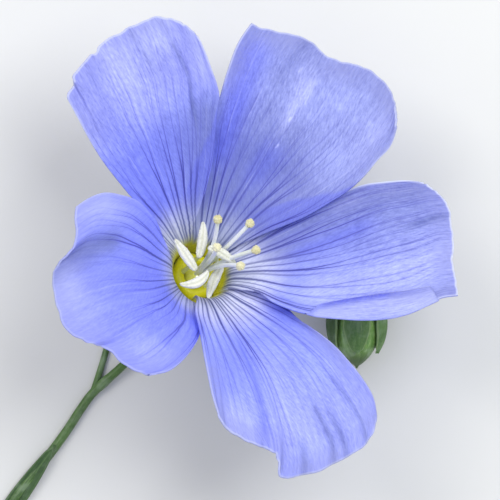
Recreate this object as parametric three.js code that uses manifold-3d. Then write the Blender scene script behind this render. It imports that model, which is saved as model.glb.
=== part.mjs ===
import * as THREE from 'three';
import { mergeVertices } from 'three/addons/utils/BufferGeometryUtils.js';
import Module from 'manifold-3d';

// A cut blue flax flower lying on a surface: an open five-petalled flower that faces up,
// its leafy stem, and a side branch that curls below the petals and ends in a young capsule.
// Millimetres, +Z up, the surface is z = 0. Plan positions are measured from the throat.

const wasm = await Module();
wasm.setup();

const degrees = THREE.MathUtils.degToRad;

// The flower: where its throat is, and how its axis leans away from straight up.
const THROAT = new THREE.Vector3(3.65, 11.55, 12.5);
const LEAN = degrees(27);
const HEADING = degrees(39);

// Thickness of every petal, sepal and leaf.
const BLADE = 0.6;

// A petal rises from its claw, bends outward at the throat and then spreads. Its folded margin
// is a share of its width, and is fully up after a share of its length.
const CLAW_RADIUS = 1.95;
const CLAW_FOOT = -3.8;
const CLAW_LENGTH = 2.8;
const CLAW_SLOPE = 82;
const CLAW_HALF_ANGLE = degrees(25);
const AZIMUTH_RADIUS = 5.6;
const BEND_LENGTH = 1.8;
const BLADE_LENGTH = 17;
const SECTION_LENGTH = 28.4;
const SECTION_STEP = 0.1;
const OVERLAP_LIFT = 0.5;
const FOLD_MARGIN = 0.28;
const FOLD_START = 0.3;
const PETAL_COLUMNS = 12;
const PETAL_ROWS = 17;
const ROW_CROWDING = 1.3;

// Stem radii, and the flat-bottomed section that lies on the surface.
const STEM_SIDES = 8;
const STEM_STEPS = 44;
const BRANCH_STEPS = 32;
const CUT_RADIUS = 0.52;
const FORK_RADIUS = 0.36;
const PEDICEL_RADIUS = 0.29;
const BRANCH_RADIUS = 0.27;
const FORK_PLACE = 0.74;
const FLAT = Math.cos(Math.PI / STEM_SIDES);

// A filament is sunk in the ring, rises to its neck, sags at its knee and holds the anther at a
// share of its length. A style springs from inside the ovary and spreads to its stigma.
const FILAMENT = { radius: 0.2, sunk: 0.5, rise: 1.6, out: 0.08, knee: 0.6, sag: 0.25, hold: 0.4 };
const ANTHER_RADIUS = 0.37;
const STYLE = { radius: 0.2, foot: -2.4, footRadius: 0.2 };
const STIGMA_RADIUS = 0.42;
const STIGMA_HEIGHT = 7.3;
const THREAD_SIDES = 5;
const FILAMENT_STEPS = 6;
const STYLE_STEPS = 8;

// Outlines are plan points in mm from the throat. A petal's clockwise margin lies over its
// neighbour and its other margin lies under the next one, all the way round.
const PETALS = [
  {
    name: 'petal_upper_right',
    claw: 25,
    slopes: [36, 20],
    waves: { amount: 0.22, count: 2.5, phase: 0.4 },
    over: [
      [3.3, 2.1], [5.4, 3.0], [7.6, 3.9], [9.6, 5.0], [11.6, 6.3], [12.8, 7.4], [13.8, 8.6],
      [14.8, 9.7], [15.3, 11.2],
    ],
    rim: [
      [3.7, 19.6], [4.6, 19.2], [6.0, 18.9], [7.0, 18.7], [8.2, 18.3], [9.0, 17.7], [9.8, 17.0],
      [10.8, 16.6], [12.4, 16.2], [13.4, 15.7], [14.6, 14.6], [15.2, 13.5], [15.3, 11.2],
    ],
    under: [
      [-0.1, 4.9], [0.0, 6.2], [0.2, 8.2], [0.5, 10.4], [0.8, 12.2], [1.2, 13.7], [1.7, 15.5],
      [2.4, 17.5], [2.8, 18.3], [3.7, 19.6],
    ],
  },
  {
    name: 'petal_upper_left',
    claw: 95,
    slopes: [36, 14],
    waves: { amount: 0.25, count: 3, phase: 1.9 },
    over: [
      [-0.9, 3.4], [-0.5, 4.6], [-0.1, 5.8], [0.3, 7.2], [0.6, 8.6], [0.8, 10.2], [0.95, 12.2],
      [1.15, 13.7], [0.95, 14.7], [0.55, 15.8], [0.15, 16.9], [-0.4, 18.2],
    ],
    rim: [
      [-11.0, 13.5], [-10.9, 13.9], [-10.3, 14.6], [-10.5, 15.2], [-10.2, 15.8], [-9.8, 16.3],
      [-9.0, 17.0], [-8.5, 17.1], [-8.2, 17.7], [-7.8, 18.2], [-6.5, 19.0], [-5.0, 19.7],
      [-3.8, 20.1], [-2.6, 20.0], [-1.6, 19.4], [-1.0, 18.9], [-0.4, 18.2],
    ],
    under: [
      [-3.6, 3.4], [-4.6, 4.5], [-5.8, 5.6], [-6.4, 6.3], [-7.9, 8.2], [-9.2, 10.2],
      [-10.4, 12.4], [-11.0, 13.5],
    ],
  },
  {
    name: 'petal_left',
    claw: 166,
    slopes: [44, -22],
    waves: { amount: 0.3, count: 2, phase: 2.6 },
    over: [
      [-3.8, 3.5], [-4.4, 4.4], [-5.4, 5.35], [-6.6, 5.8], [-8.0, 6.0], [-9.2, 5.6], [-10.2, 4.9],
    ],
    rim: [
      [-4.2, -8.5], [-5.6, -8.2], [-6.8, -7.3], [-7.8, -6.4], [-9.6, -5.9], [-10.8, -5.1],
      [-11.5, -4.0], [-11.6, -3.4], [-12.0, -1.9], [-12.1, -1.0], [-11.8, 0.1], [-11.0, 1.0],
      [-10.4, 2.0], [-10.3, 3.2], [-10.3, 4.2], [-10.2, 4.9],
    ],
    under: [
      [-1.3, -3.9], [-0.8, -4.8], [-0.7, -5.6], [-1.5, -7.0], [-2.8, -8.2], [-4.2, -8.5],
    ],
  },
  {
    name: 'petal_lower',
    claw: 237,
    slopes: [34, 6],
    waves: { amount: 0.25, count: 2.5, phase: 0.9 },
    over: [
      [-0.1, -4.0], [-0.1, -5.2], [-0.05, -6.6], [0.25, -8.5], [0.55, -10.0], [0.9, -11.2],
    ],
    rim: [
      [13.7, -11.8], [13.6, -12.6], [13.3, -13.4], [12.7, -14.2], [12.0, -14.7], [10.6, -15.5],
      [9.4, -16.0], [7.8, -16.3], [6.8, -16.5], [6.2, -16.4], [5.8, -15.5], [5.4, -14.6],
      [4.0, -14.0], [2.4, -13.1], [1.3, -12.1], [0.9, -11.2],
    ],
    under: [
      [3.9, -2.7], [5.6, -3.2], [7.0, -3.9], [8.8, -5.0], [10.2, -6.1], [11.5, -7.5],
      [12.6, -8.9], [13.4, -10.3], [13.7, -11.8],
    ],
  },
  {
    name: 'petal_right',
    claw: 304,
    slopes: [38, 20],
    waves: { amount: 0.15, count: 2, phase: 3.4 },
    fold: 0.8,
    over: [
      [4.1, -1.9], [5.4, -2.7], [6.8, -3.3], [8.8, -3.8], [10.8, -4.0], [12.8, -4.1],
      [14.8, -3.95], [16.2, -3.6], [17.8, -2.9], [18.9, -2.4], [20.2, -2.2],
    ],
    rim: [
      [17.2, 6.9], [18.0, 6.5], [19.0, 5.6], [19.6, 4.6], [19.7, 3.7], [19.9, 1.8], [19.8, 0.6],
      [20.0, -0.6], [20.2, -2.2],
    ],
    under: [
      [4.0, 1.9], [5.4, 3.0], [7.6, 4.4], [9.6, 5.4], [11.6, 6.3], [12.8, 6.7], [14.4, 6.9],
      [16.0, 7.0], [17.2, 6.9],
    ],
  },
];

// Anthers: plan place and height along the axis of the outer and the inner tip, and the
// azimuth at which the filament leaves the ring.
const STAMENS = [
  { outer: [-2.4, 2.3, 2.2], inner: [-0.7, -0.2, 2.6], ring: 130 },
  { outer: [-0.15, 3.7, 2.4], inner: [-0.5, 0.8, 2.6], ring: 60 },
  { outer: [-2.0, -1.3, 2.8], inner: [0.3, -0.3, 3.2], ring: 201 },
  { outer: [0.25, -2.4, 2.2], inner: [1.35, 0.15, 0.2], ring: 270 },
  { outer: [2.4, 0.3, 2.2], inner: [0.55, 1.1, 0.4], ring: 345 },
];
const RING = { inside: 1.0, outside: 1.35, foot: -3.8, top: -2.7 };

// Stigmas in plan, all at the same height along the axis.
const STIGMAS = [[1.04, 3.88], [3.6, 3.56], [0.96, 1.64], [4.08, 1.44], [2.84, 0.16]];
const OVARY = [[0, -3.8], [0.45, -3.8], [0.65, -3.3], [0.62, -2.7], [0.4, -2.1], [0, -1.9]];

// Radius and height along the axis, from foot to tip. A sepal reaches no further round the axis
// than SEPAL_REACH to either side, so that it clears its neighbours.
const SEPAL = [[2.1, -5.1], [2.8, -4.6], [3.0, -3.8], [3.05, -2.6], [3.15, -1.7], [3.5, -0.9]];
const SEPAL_HALF_WIDTH = 1.45;
const SEPAL_REACH = degrees(28);
const SEPAL_COLUMNS = 4;
const SEPAL_ROWS = 8;
const RECEPTACLE = [
  [0, -6.1], [0.32, -6.1], [0.5, -5.65], [0.95, -5.3], [1.6, -4.85], [2.0, -4.4], [2.0, -4.1],
  [0, -4.1],
];

// Outlines of a sepal and a leaf: shares of the full width at the foot and at the tip, where the
// foot ends, how far the broadest place lies toward the foot, and how full the sides are.
const SEPAL_OUTLINE = { foot: 0.62, tip: 0.12, footEnd: 0.5, broadest: 0.72, fullness: 0.8 };
const LEAF_OUTLINE = { foot: 0.34, tip: 0.12, footEnd: 0.3, broadest: 0.8, fullness: 0.7 };

// The capsule lies along -Y at the end of the side branch.
const CAPSULE_FOOT = new THREE.Vector3(12.2, -2.6, 2.75);
const CAPSULE_PITCH = degrees(-2);
const CAPSULE = [
  [0, 0], [0.9, 0.12], [1.55, 0.9], [1.75, 1.9], [1.65, 3.0], [1.2, 4.1], [0.5, 4.95],
  [0.16, 5.5], [0, 5.5],
];
const CAPSULE_SEPAL = [[1.25, -0.4], [2.0, 0.35], [2.33, 1.3], [2.36, 2.3], [2.2, 3.3], [1.9, 4.3]];
const CAPSULE_SEPAL_HALF_WIDTH = 1.2;
const CAPSULE_SEPALS = 5;
const CAPSULE_SEAT = [[0, -1.3], [0.26, -1.3], [0.6, -0.8], [0.75, -0.45], [0.7, -0.3], [0, -0.3]];

// Routes in plan, with how far the underside is above the surface at each place. The stem runs
// from its cut end past the fork and rises as the pedicel that carries the flower.
const STEM_ROUTE = [
  [-25.7, -43.0, 0], [-23.9, -36.0, 0], [-21.4, -29.3, 0], [-18.4, -23.3, 0], [-15.5, -18.8, 0],
  [-14.0, -16.8, 0], [-12.4, -14.8, 0], [-11.1, -13.0, 0], [-10.0, -11.3, 0], [-9.1, -10.1, 0],
  [-6.4, -7.6, 0.55], [-4.2, -4.9, 2.2], [-2.7, -2.75, 4.7],
];
const BRANCH_ROUTE = [
  [-9.2, -10.4, 0.06], [-8.6, -8.6, 0.02], [-8.0, -6.6, 0], [-7.0, -2.6, 0], [-4.4, 3.0, 0],
  [-0.4, 8.2, 0], [4.6, 10.6, 0], [9.2, 8.4, 0], [11.9, 3.9, 0], [12.6, 1.2, 0.75],
];

// Leaves: where they leave the stem (0 cut end, 1 flower), the angle that they turn off it,
// their size, how high the tip rises and how they curve.
const LEAVES = [
  { along: 0.44, turn: -4, length: 9.2, width: 1.4, lift: 0.1, tip: 0.7, curve: 0.1 },
  { along: 0.34, turn: 27, length: 12.5, width: 2.0, lift: 0.1, tip: 1.6, curve: 0.9 },
  { along: 0.23, turn: -30, length: 13.5, width: 2.2, lift: 0, tip: 0, curve: -1.1 },
  { along: 0.13, turn: 26, length: 14.5, width: 2.3, lift: 0.1, tip: 2.0, curve: 1.0 },
];
const LEAF_ROOT_RISE = 0.12;
const LEAF_ROOT_END = 0.2;
const LEAF_COLUMNS = 2;
const LEAF_ROWS = 9;

const COLOURS = {
  petal: 0x8f96f2,
  stem: 0x55803c,
  sepal: 0x5f8a45,
  stamen: 0xecece0,
  pistil: 0xe0dba2,
  capsule: 0x7ea35a,
};

const axis = new THREE.Vector3(
  Math.sin(LEAN) * Math.cos(HEADING), Math.sin(LEAN) * Math.sin(HEADING), Math.cos(LEAN));
const across = new THREE.Vector3(-Math.sin(HEADING), Math.cos(HEADING), 0);
const along = new THREE.Vector3().crossVectors(across, axis);
const flowerFrame = { origin: THROAT, side: along, other: across, axis };

function clamp01(value) {
  return Math.min(1, Math.max(0, value));
}

function smooth(value) {
  const t = clamp01(value);
  return t * t * (3 - 2 * t);
}

function mix(a, b, t) {
  return a + (b - a) * t;
}

// Width of a sepal or leaf at t from its foot to its tip, as a share of its full width.
function outlineWidth(outline, t) {
  const swell = Math.sin(Math.PI * t ** outline.broadest) ** outline.fullness;
  const foot = mix(outline.foot, outline.tip, smooth(t / outline.footEnd));
  return Math.max(mix(outline.tip, 1, swell), foot);
}

// A point at a radius, azimuth and height in the frame of a flower or capsule.
function inFrame(frame, radius, azimuth, height) {
  return frame.origin.clone()
    .addScaledVector(frame.side, radius * Math.cos(azimuth))
    .addScaledVector(frame.other, radius * Math.sin(azimuth))
    .addScaledVector(frame.axis, height);
}

// A point in plan from the throat, with its height either along the axis or above the surface.
function onAxisHeight([x, y, height]) {
  const z = (height - x * axis.x - y * axis.y) / axis.z;
  return new THREE.Vector3(THROAT.x + x, THROAT.y + y, THROAT.z + z);
}

function aboveSurface([x, y, rise]) {
  return new THREE.Vector3(THROAT.x + x, THROAT.y + y, rise);
}

function toSolid(geometry) {
  const bare = geometry.clone();
  bare.deleteAttribute('normal');
  bare.deleteAttribute('uv');
  const merged = mergeVertices(bare, 1e-4);
  const index = merged.index.array;
  const triangles = [];
  for (let i = 0; i < index.length; i += 3) {
    const [a, b, c] = [index[i], index[i + 1], index[i + 2]];
    if (a !== b && b !== c && c !== a) {
      triangles.push(a, b, c);
    }
  }
  return new wasm.Manifold(new wasm.Mesh({
    numProp: 3,
    vertProperties: new Float32Array(merged.attributes.position.array),
    triVerts: new Uint32Array(triangles),
  }));
}

function toGeometry(solid) {
  const mesh = solid.getMesh();
  const geometry = new THREE.BufferGeometry();
  geometry.setAttribute('position', new THREE.BufferAttribute(mesh.vertProperties, 3));
  geometry.setIndex(new THREE.BufferAttribute(mesh.triVerts, 1));
  return geometry;
}

function fuse(geometries) {
  return toGeometry(geometries.map(toSolid).reduce((whole, piece) => whole.add(piece)));
}

function geometryFrom(points, triangles) {
  const geometry = new THREE.BufferGeometry().setFromPoints(points);
  geometry.setIndex(triangles);
  return geometry;
}

// A blade: rows of points become a closed solid of even thickness, and both of its faces are
// split into triangles alike.
function blade(rows, thickness) {
  const rowCount = rows.length;
  const columnCount = rows[0].length;
  const points = [];
  for (const side of [0.5, -0.5]) {
    for (let j = 0; j < rowCount; j += 1) {
      for (let i = 0; i < columnCount; i += 1) {
        const acrossRow = rows[j][Math.min(i + 1, columnCount - 1)].clone()
          .sub(rows[j][Math.max(i - 1, 0)]);
        const alongBlade = rows[Math.min(j + 1, rowCount - 1)][i].clone()
          .sub(rows[Math.max(j - 1, 0)][i]);
        const normal = acrossRow.cross(alongBlade).normalize();
        points.push(rows[j][i].clone().addScaledVector(normal, side * thickness));
      }
    }
  }
  const top = (j, i) => j * columnCount + i;
  const under = (j, i) => rowCount * columnCount + top(j, i);
  const triangles = [];
  for (let j = 0; j < rowCount - 1; j += 1) {
    for (let i = 0; i < columnCount - 1; i += 1) {
      triangles.push(top(j, i), top(j, i + 1), top(j + 1, i + 1));
      triangles.push(top(j, i), top(j + 1, i + 1), top(j + 1, i));
      triangles.push(under(j, i), under(j + 1, i + 1), under(j, i + 1));
      triangles.push(under(j, i), under(j + 1, i), under(j + 1, i + 1));
    }
  }
  const loop = [];
  for (let i = 0; i < columnCount - 1; i += 1) {
    loop.push([0, i]);
  }
  for (let j = 0; j < rowCount - 1; j += 1) {
    loop.push([j, columnCount - 1]);
  }
  for (let i = columnCount - 1; i > 0; i -= 1) {
    loop.push([rowCount - 1, i]);
  }
  for (let j = rowCount - 1; j > 0; j -= 1) {
    loop.push([j, 0]);
  }
  loop.forEach(([j, i], k) => {
    const [nextJ, nextI] = loop[(k + 1) % loop.length];
    triangles.push(top(nextJ, nextI), top(j, i), under(j, i));
    triangles.push(top(nextJ, nextI), under(j, i), under(nextJ, nextI));
  });
  return geometryFrom(points, triangles);
}

// A tapering tube along a curve, closed at both ends, with one flat of its section below.
function tube(curve, radiusAt, sides, steps, up = new THREE.Vector3(0, 0, 1)) {
  const points = [];
  const triangles = [];
  for (let k = 0; k <= steps; k += 1) {
    const t = k / steps;
    const centre = curve.getPointAt(t);
    const tangent = curve.getTangentAt(t);
    const sideways = new THREE.Vector3().crossVectors(up, tangent).normalize();
    const upward = new THREE.Vector3().crossVectors(tangent, sideways);
    const radius = radiusAt(t);
    for (let s = 0; s < sides; s += 1) {
      const angle = (s + 0.5) * 2 * Math.PI / sides;
      points.push(centre.clone()
        .addScaledVector(sideways, radius * Math.sin(angle))
        .addScaledVector(upward, -radius * Math.cos(angle)));
    }
  }
  const last = steps * sides;
  for (let k = 0; k < steps; k += 1) {
    for (let s = 0; s < sides; s += 1) {
      const a = k * sides + s;
      const b = k * sides + (s + 1) % sides;
      triangles.push(a, b, b + sides, a, b + sides, a + sides);
    }
  }
  for (let s = 1; s < sides - 1; s += 1) {
    triangles.push(0, s + 1, s, last, last + s, last + s + 1);
  }
  return geometryFrom(points, triangles);
}

// A turned shape round the axis of a frame, from points of radius and height.
function turned(profile, frame, segments) {
  const outline = profile.map(([radius, height]) => new THREE.Vector2(radius, height));
  const geometry = new THREE.LatheGeometry(outline, segments);
  const basis = new THREE.Matrix4().makeBasis(frame.other, frame.axis, frame.side);
  geometry.applyMatrix4(basis.setPosition(frame.origin));
  return geometry;
}

// The petal's section through the axis: radius, height and slope at each distance from its foot.
function petalSection(petal) {
  const stations = [{ radius: CLAW_RADIUS, height: CLAW_FOOT, slope: degrees(CLAW_SLOPE) }];
  for (let s = SECTION_STEP; s < SECTION_LENGTH; s += SECTION_STEP) {
    const past = (s - CLAW_LENGTH - BEND_LENGTH) / BLADE_LENGTH;
    const spread = mix(petal.slopes[0], petal.slopes[1], Math.max(0, past));
    const slope = degrees(mix(CLAW_SLOPE, spread, smooth((s - CLAW_LENGTH) / BEND_LENGTH)));
    const last = stations[stations.length - 1];
    stations.push({
      radius: last.radius + SECTION_STEP * Math.cos(slope),
      height: last.height + SECTION_STEP * Math.sin(slope),
      slope,
    });
  }
  return (s) => {
    const place = Math.max(0, s) / SECTION_STEP;
    const low = stations[Math.min(Math.floor(place), stations.length - 2)];
    const high = stations[Math.min(Math.floor(place) + 1, stations.length - 1)];
    const t = place - Math.floor(place);
    return {
      radius: mix(low.radius, high.radius, t),
      height: mix(low.height, high.height, t),
      slope: mix(low.slope, high.slope, t),
    };
  };
}

// How far the surface stands off its section: one margin over the neighbour, the other under
// it, waves that grow toward the rim, and the folded margin of the right petal.
function petalLift(petal, across01, s) {
  const u = 2 * across01 - 1;
  const open = smooth((s - CLAW_LENGTH) / (BEND_LENGTH + 1));
  const outward = clamp01((s - CLAW_LENGTH - BEND_LENGTH) / BLADE_LENGTH);
  const { amount, count, phase } = petal.waves;
  const wave = amount * outward * outward * Math.sin(count * Math.PI * u + phase);
  const folded = smooth((u - 1 + FOLD_MARGIN) / FOLD_MARGIN) * smooth(outward / FOLD_START);
  return OVERLAP_LIFT * u * open + wave + (petal.fold ?? 0) * folded;
}

function petalPoint(petal, section, azimuth, s, across01) {
  const { radius, height, slope } = section(s);
  const lift = petalLift(petal, across01, s);
  return inFrame(
    flowerFrame,
    radius - lift * Math.sin(slope),
    azimuth,
    height + lift * Math.cos(slope));
}

// Where the petal's surface lies over a plan point, found by Newton's method in azimuth and
// distance from the foot. Azimuth is given as a length, so that both have the same scale.
function onPetal(petal, section, [x, y], across01) {
  const target = new THREE.Vector2(THROAT.x + x, THROAT.y + y);
  const rounds = 40;
  const nudge = 1e-3;
  const mostTurn = 0.2;
  const mostAdvance = 1.5;
  let azimuth = Math.atan2(y, x) - HEADING;
  const claw = degrees(petal.claw);
  azimuth += 2 * Math.PI * Math.round((claw - azimuth) / (2 * Math.PI));
  let s = CLAW_LENGTH + Math.hypot(x, y);
  for (let round = 0; round < rounds; round += 1) {
    const here = petalPoint(petal, section, azimuth, s, across01);
    const turnedPoint = petalPoint(petal, section, azimuth + nudge, s, across01);
    const farther = petalPoint(petal, section, azimuth, s + nudge, across01);
    const ax = (turnedPoint.x - here.x) / nudge;
    const ay = (turnedPoint.y - here.y) / nudge;
    const sx = (farther.x - here.x) / nudge;
    const sy = (farther.y - here.y) / nudge;
    const dx = target.x - here.x;
    const dy = target.y - here.y;
    const det = ax * sy - ay * sx;
    azimuth += THREE.MathUtils.clamp((dx * sy - dy * sx) / det, -mostTurn, mostTurn);
    s += THREE.MathUtils.clamp((ax * dy - ay * dx) / det, -mostAdvance, mostAdvance);
  }
  return new THREE.Vector3(azimuth * AZIMUTH_RADIUS, s, 0);
}

// The petal's grid: its four edges are curves in azimuth and distance, and the rows between
// them are blended from all four.
function petalRows(petal) {
  const section = petalSection(petal);
  const claw = degrees(petal.claw);
  const edge = (points, across01) => {
    const clawSide = (claw + (1 - 2 * across01) * CLAW_HALF_ANGLE) * AZIMUTH_RADIUS;
    const straight = [0, 0.5, 1].map((t) => new THREE.Vector3(clawSide, t * CLAW_LENGTH, 0));
    const seen = points.map((point) => onPetal(petal, section, point, across01));
    return new THREE.CatmullRomCurve3([...straight, ...seen]);
  };
  const under = edge(petal.under, 0);
  const over = edge(petal.over, 1);
  const rim = new THREE.CatmullRomCurve3(petal.rim.map(
    (point, k) => onPetal(petal, section, point, k / (petal.rim.length - 1))));
  const foot = new THREE.LineCurve3(under.getPoint(0), over.getPoint(0));
  const corners = [under.getPoint(0), over.getPoint(0), rim.getPoint(0), rim.getPoint(1)];
  const rows = [];
  for (let j = 0; j <= PETAL_ROWS; j += 1) {
    const v = (j / PETAL_ROWS) ** ROW_CROWDING;
    const row = [];
    for (let i = 0; i <= PETAL_COLUMNS; i += 1) {
      const u = i / PETAL_COLUMNS;
      const place = new THREE.Vector3()
        .addScaledVector(under.getPointAt(v), 1 - u)
        .addScaledVector(over.getPointAt(v), u)
        .addScaledVector(foot.getPoint(u), 1 - v)
        .addScaledVector(rim.getPointAt(u), v)
        .addScaledVector(corners[0], -(1 - u) * (1 - v))
        .addScaledVector(corners[1], -u * (1 - v))
        .addScaledVector(corners[2], -(1 - u) * v)
        .addScaledVector(corners[3], -u * v);
      row.push(petalPoint(petal, section, place.x / AZIMUTH_RADIUS, place.y, u));
    }
    rows.push(row);
  }
  return rows;
}

function sepal(frame, profile, halfWidth, azimuth) {
  const curve = new THREE.SplineCurve(profile.map(([r, h]) => new THREE.Vector2(r, h)));
  const rows = [];
  for (let j = 0; j <= SEPAL_ROWS; j += 1) {
    const t = j / SEPAL_ROWS;
    const { x: radius, y: height } = curve.getPointAt(t);
    const half = halfWidth * outlineWidth(SEPAL_OUTLINE, t);
    const reach = Math.min(half / radius, SEPAL_REACH);
    const row = [];
    for (let i = 0; i <= SEPAL_COLUMNS; i += 1) {
      const side = 1 - 2 * i / SEPAL_COLUMNS;
      row.push(inFrame(frame, radius, azimuth + reach * side, height));
    }
    rows.push(row);
  }
  return blade(rows, BLADE);
}

function stamens() {
  const { inside, outside, foot, top } = RING;
  const pieces = [turned(
    [[inside, foot], [outside, foot], [outside, top], [inside, top], [inside, foot]],
    flowerFrame, 15)];
  for (const { outer, inner, ring } of STAMENS) {
    const outerTip = onAxisHeight(outer);
    const innerTip = onAxisHeight(inner);
    const direction = outerTip.clone().sub(innerTip).normalize();
    const length = outerTip.distanceTo(innerTip);
    const anther = new THREE.CapsuleGeometry(ANTHER_RADIUS, length - 2 * ANTHER_RADIUS, 2, 8);
    anther.applyQuaternion(
      new THREE.Quaternion().setFromUnitVectors(new THREE.Vector3(0, 1, 0), direction));
    const middle = outerTip.clone().add(innerTip).multiplyScalar(0.5);
    anther.translate(middle.x, middle.y, middle.z);
    const hold = innerTip.clone().lerp(outerTip, FILAMENT.hold);
    const ringAngle = degrees(ring);
    const ringRadius = (inside + outside) / 2;
    const root = inFrame(flowerFrame, ringRadius, ringAngle, top - FILAMENT.sunk);
    const neck = inFrame(flowerFrame, ringRadius + FILAMENT.out, ringAngle, top + FILAMENT.rise);
    const knee = neck.clone().lerp(hold, FILAMENT.knee).addScaledVector(axis, -FILAMENT.sag);
    const route = new THREE.CatmullRomCurve3([root, neck, knee, hold]);
    const filament = tube(route, () => FILAMENT.radius, THREAD_SIDES, FILAMENT_STEPS, across);
    pieces.push(anther, filament);
  }
  return fuse(pieces);
}

function pistil() {
  const pieces = [turned(OVARY, flowerFrame, 10)];
  const { radius, foot, footRadius } = STYLE;
  for (const [x, y] of STIGMAS) {
    const knob = onAxisHeight([x, y, STIGMA_HEIGHT]);
    const offset = knob.clone().sub(THROAT).addScaledVector(axis, -STIGMA_HEIGHT);
    const azimuth = Math.atan2(offset.dot(across), offset.dot(along));
    const reach = offset.length();
    const route = [0, 0.25, 0.5, 0.75, 1].map((t) => inFrame(
      flowerFrame, mix(footRadius, reach, t * t), azimuth, mix(foot, STIGMA_HEIGHT, t)));
    const style = new THREE.CatmullRomCurve3(route);
    const stigma = new THREE.IcosahedronGeometry(STIGMA_RADIUS, 1);
    stigma.translate(knob.x, knob.y, knob.z);
    pieces.push(tube(style, () => radius, THREAD_SIDES, STYLE_STEPS, across), stigma);
  }
  return fuse(pieces);
}

// The centre line of a tube whose underside follows a route above the surface.
class Route extends THREE.Curve {
  constructor(points, radiusAt) {
    super();
    this.underside = new THREE.CatmullRomCurve3(points);
    this.radiusAt = radiusAt;
  }

  getPoint(t, target = new THREE.Vector3()) {
    this.underside.getPointAt(t, target);
    target.z = Math.max(0, target.z) + FLAT * this.radiusAt(t);
    return target;
  }

  getPointAt(t, target) {
    return this.getPoint(t, target);
  }

  getTangentAt(t, target = new THREE.Vector3()) {
    const step = 1e-3;
    const from = this.getPoint(Math.max(0, t - step));
    return target.copy(this.getPoint(Math.min(1, t + step))).sub(from).normalize();
  }
}

function leaf(stem, { along: place, turn, length, width, lift, tip, curve }) {
  const root = stem.getPointAt(place);
  const ahead = stem.getTangentAt(place);
  const heading = Math.atan2(ahead.y, ahead.x) + degrees(turn);
  const forward = new THREE.Vector3(Math.cos(heading), Math.sin(heading), 0);
  const sideways = new THREE.Vector3(-forward.y, forward.x, 0);
  const rows = [];
  for (let j = 0; j <= LEAF_ROWS; j += 1) {
    const t = j / LEAF_ROWS;
    const middle = root.clone()
      .addScaledVector(forward, t * length)
      .addScaledVector(sideways, curve * t * t);
    const rootRise = LEAF_ROOT_RISE * (1 - smooth(t / LEAF_ROOT_END));
    middle.z = BLADE / 2 + lift + rootRise + tip * t * t;
    const half = 0.5 * width * outlineWidth(LEAF_OUTLINE, t);
    const row = [];
    for (let i = 0; i <= LEAF_COLUMNS; i += 1) {
      const side = 2 * i / LEAF_COLUMNS - 1;
      row.push(middle.clone().addScaledVector(sideways, -side * half));
    }
    rows.push(row);
  }
  return blade(rows, BLADE);
}

function stemPiece(seatFrame) {
  const stemRadius = (t) => mix(
    mix(CUT_RADIUS, FORK_RADIUS, clamp01(t / FORK_PLACE)),
    PEDICEL_RADIUS, clamp01((t - FORK_PLACE) / (1 - FORK_PLACE)));
  const branchRadius = () => BRANCH_RADIUS;
  const main = new Route([
    ...STEM_ROUTE.map(aboveSurface),
    inFrame(flowerFrame, 0, 0, RECEPTACLE[0][1] - 0.3),
    inFrame(flowerFrame, 0, 0, RECEPTACLE[0][1] + 0.8),
  ], stemRadius);
  const branch = new Route([
    ...BRANCH_ROUTE.map(aboveSurface),
    inFrame(seatFrame, 0, 0, CAPSULE_SEAT[0][1] - 0.1),
    inFrame(seatFrame, 0, 0, CAPSULE_SEAT[0][1] + 0.5),
  ], branchRadius);
  return fuse([
    tube(main, stemRadius, STEM_SIDES, STEM_STEPS),
    tube(branch, branchRadius, STEM_SIDES, BRANCH_STEPS),
    turned(RECEPTACLE, flowerFrame, 16),
    turned(CAPSULE_SEAT, seatFrame, 10),
    ...LEAVES.map((shape) => leaf(main, shape)),
  ]);
}

const capsuleAxis = new THREE.Vector3(0, -Math.cos(CAPSULE_PITCH), Math.sin(CAPSULE_PITCH));
const capsuleSide = new THREE.Vector3(1, 0, 0);
const capsuleFrame = {
  origin: new THREE.Vector3(THROAT.x + CAPSULE_FOOT.x, THROAT.y + CAPSULE_FOOT.y, CAPSULE_FOOT.z),
  side: capsuleSide,
  other: new THREE.Vector3().crossVectors(capsuleAxis, capsuleSide),
  axis: capsuleAxis,
};

const flower = new THREE.Group();

function add(name, geometry, color, roughness) {
  const material = new THREE.MeshStandardMaterial({ color, roughness, metalness: 0 });
  const mesh = new THREE.Mesh(geometry, material);
  mesh.name = name;
  flower.add(mesh);
}

add('stem', stemPiece(capsuleFrame), COLOURS.stem, 0.6);
for (const petal of PETALS) {
  add(petal.name, blade(petalRows(petal), BLADE), COLOURS.petal, 0.55);
}
PETALS.forEach((petal, k) => {
  const next = PETALS[(k + 1) % PETALS.length];
  const gap = (next.claw - petal.claw + 360) % 360;
  const azimuth = degrees(petal.claw + gap / 2);
  add(`sepal_${k + 1}`, sepal(flowerFrame, SEPAL, SEPAL_HALF_WIDTH, azimuth), COLOURS.sepal, 0.6);
});
add('stamens', stamens(), COLOURS.stamen, 0.5);
add('pistil', pistil(), COLOURS.pistil, 0.5);
add('capsule', turned(CAPSULE, capsuleFrame, 15), COLOURS.capsule, 0.5);
for (let k = 0; k < CAPSULE_SEPALS; k += 1) {
  const azimuth = Math.PI / 2 + 2 * Math.PI * k / CAPSULE_SEPALS;
  const geometry = sepal(capsuleFrame, CAPSULE_SEPAL, CAPSULE_SEPAL_HALF_WIDTH, azimuth);
  add(`capsule_sepal_${k + 1}`, geometry, COLOURS.sepal, 0.6);
}

export default flower;
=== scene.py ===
import math

import bmesh
import bpy
import numpy as np
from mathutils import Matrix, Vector
from mathutils.bvhtree import BVHTree


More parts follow.
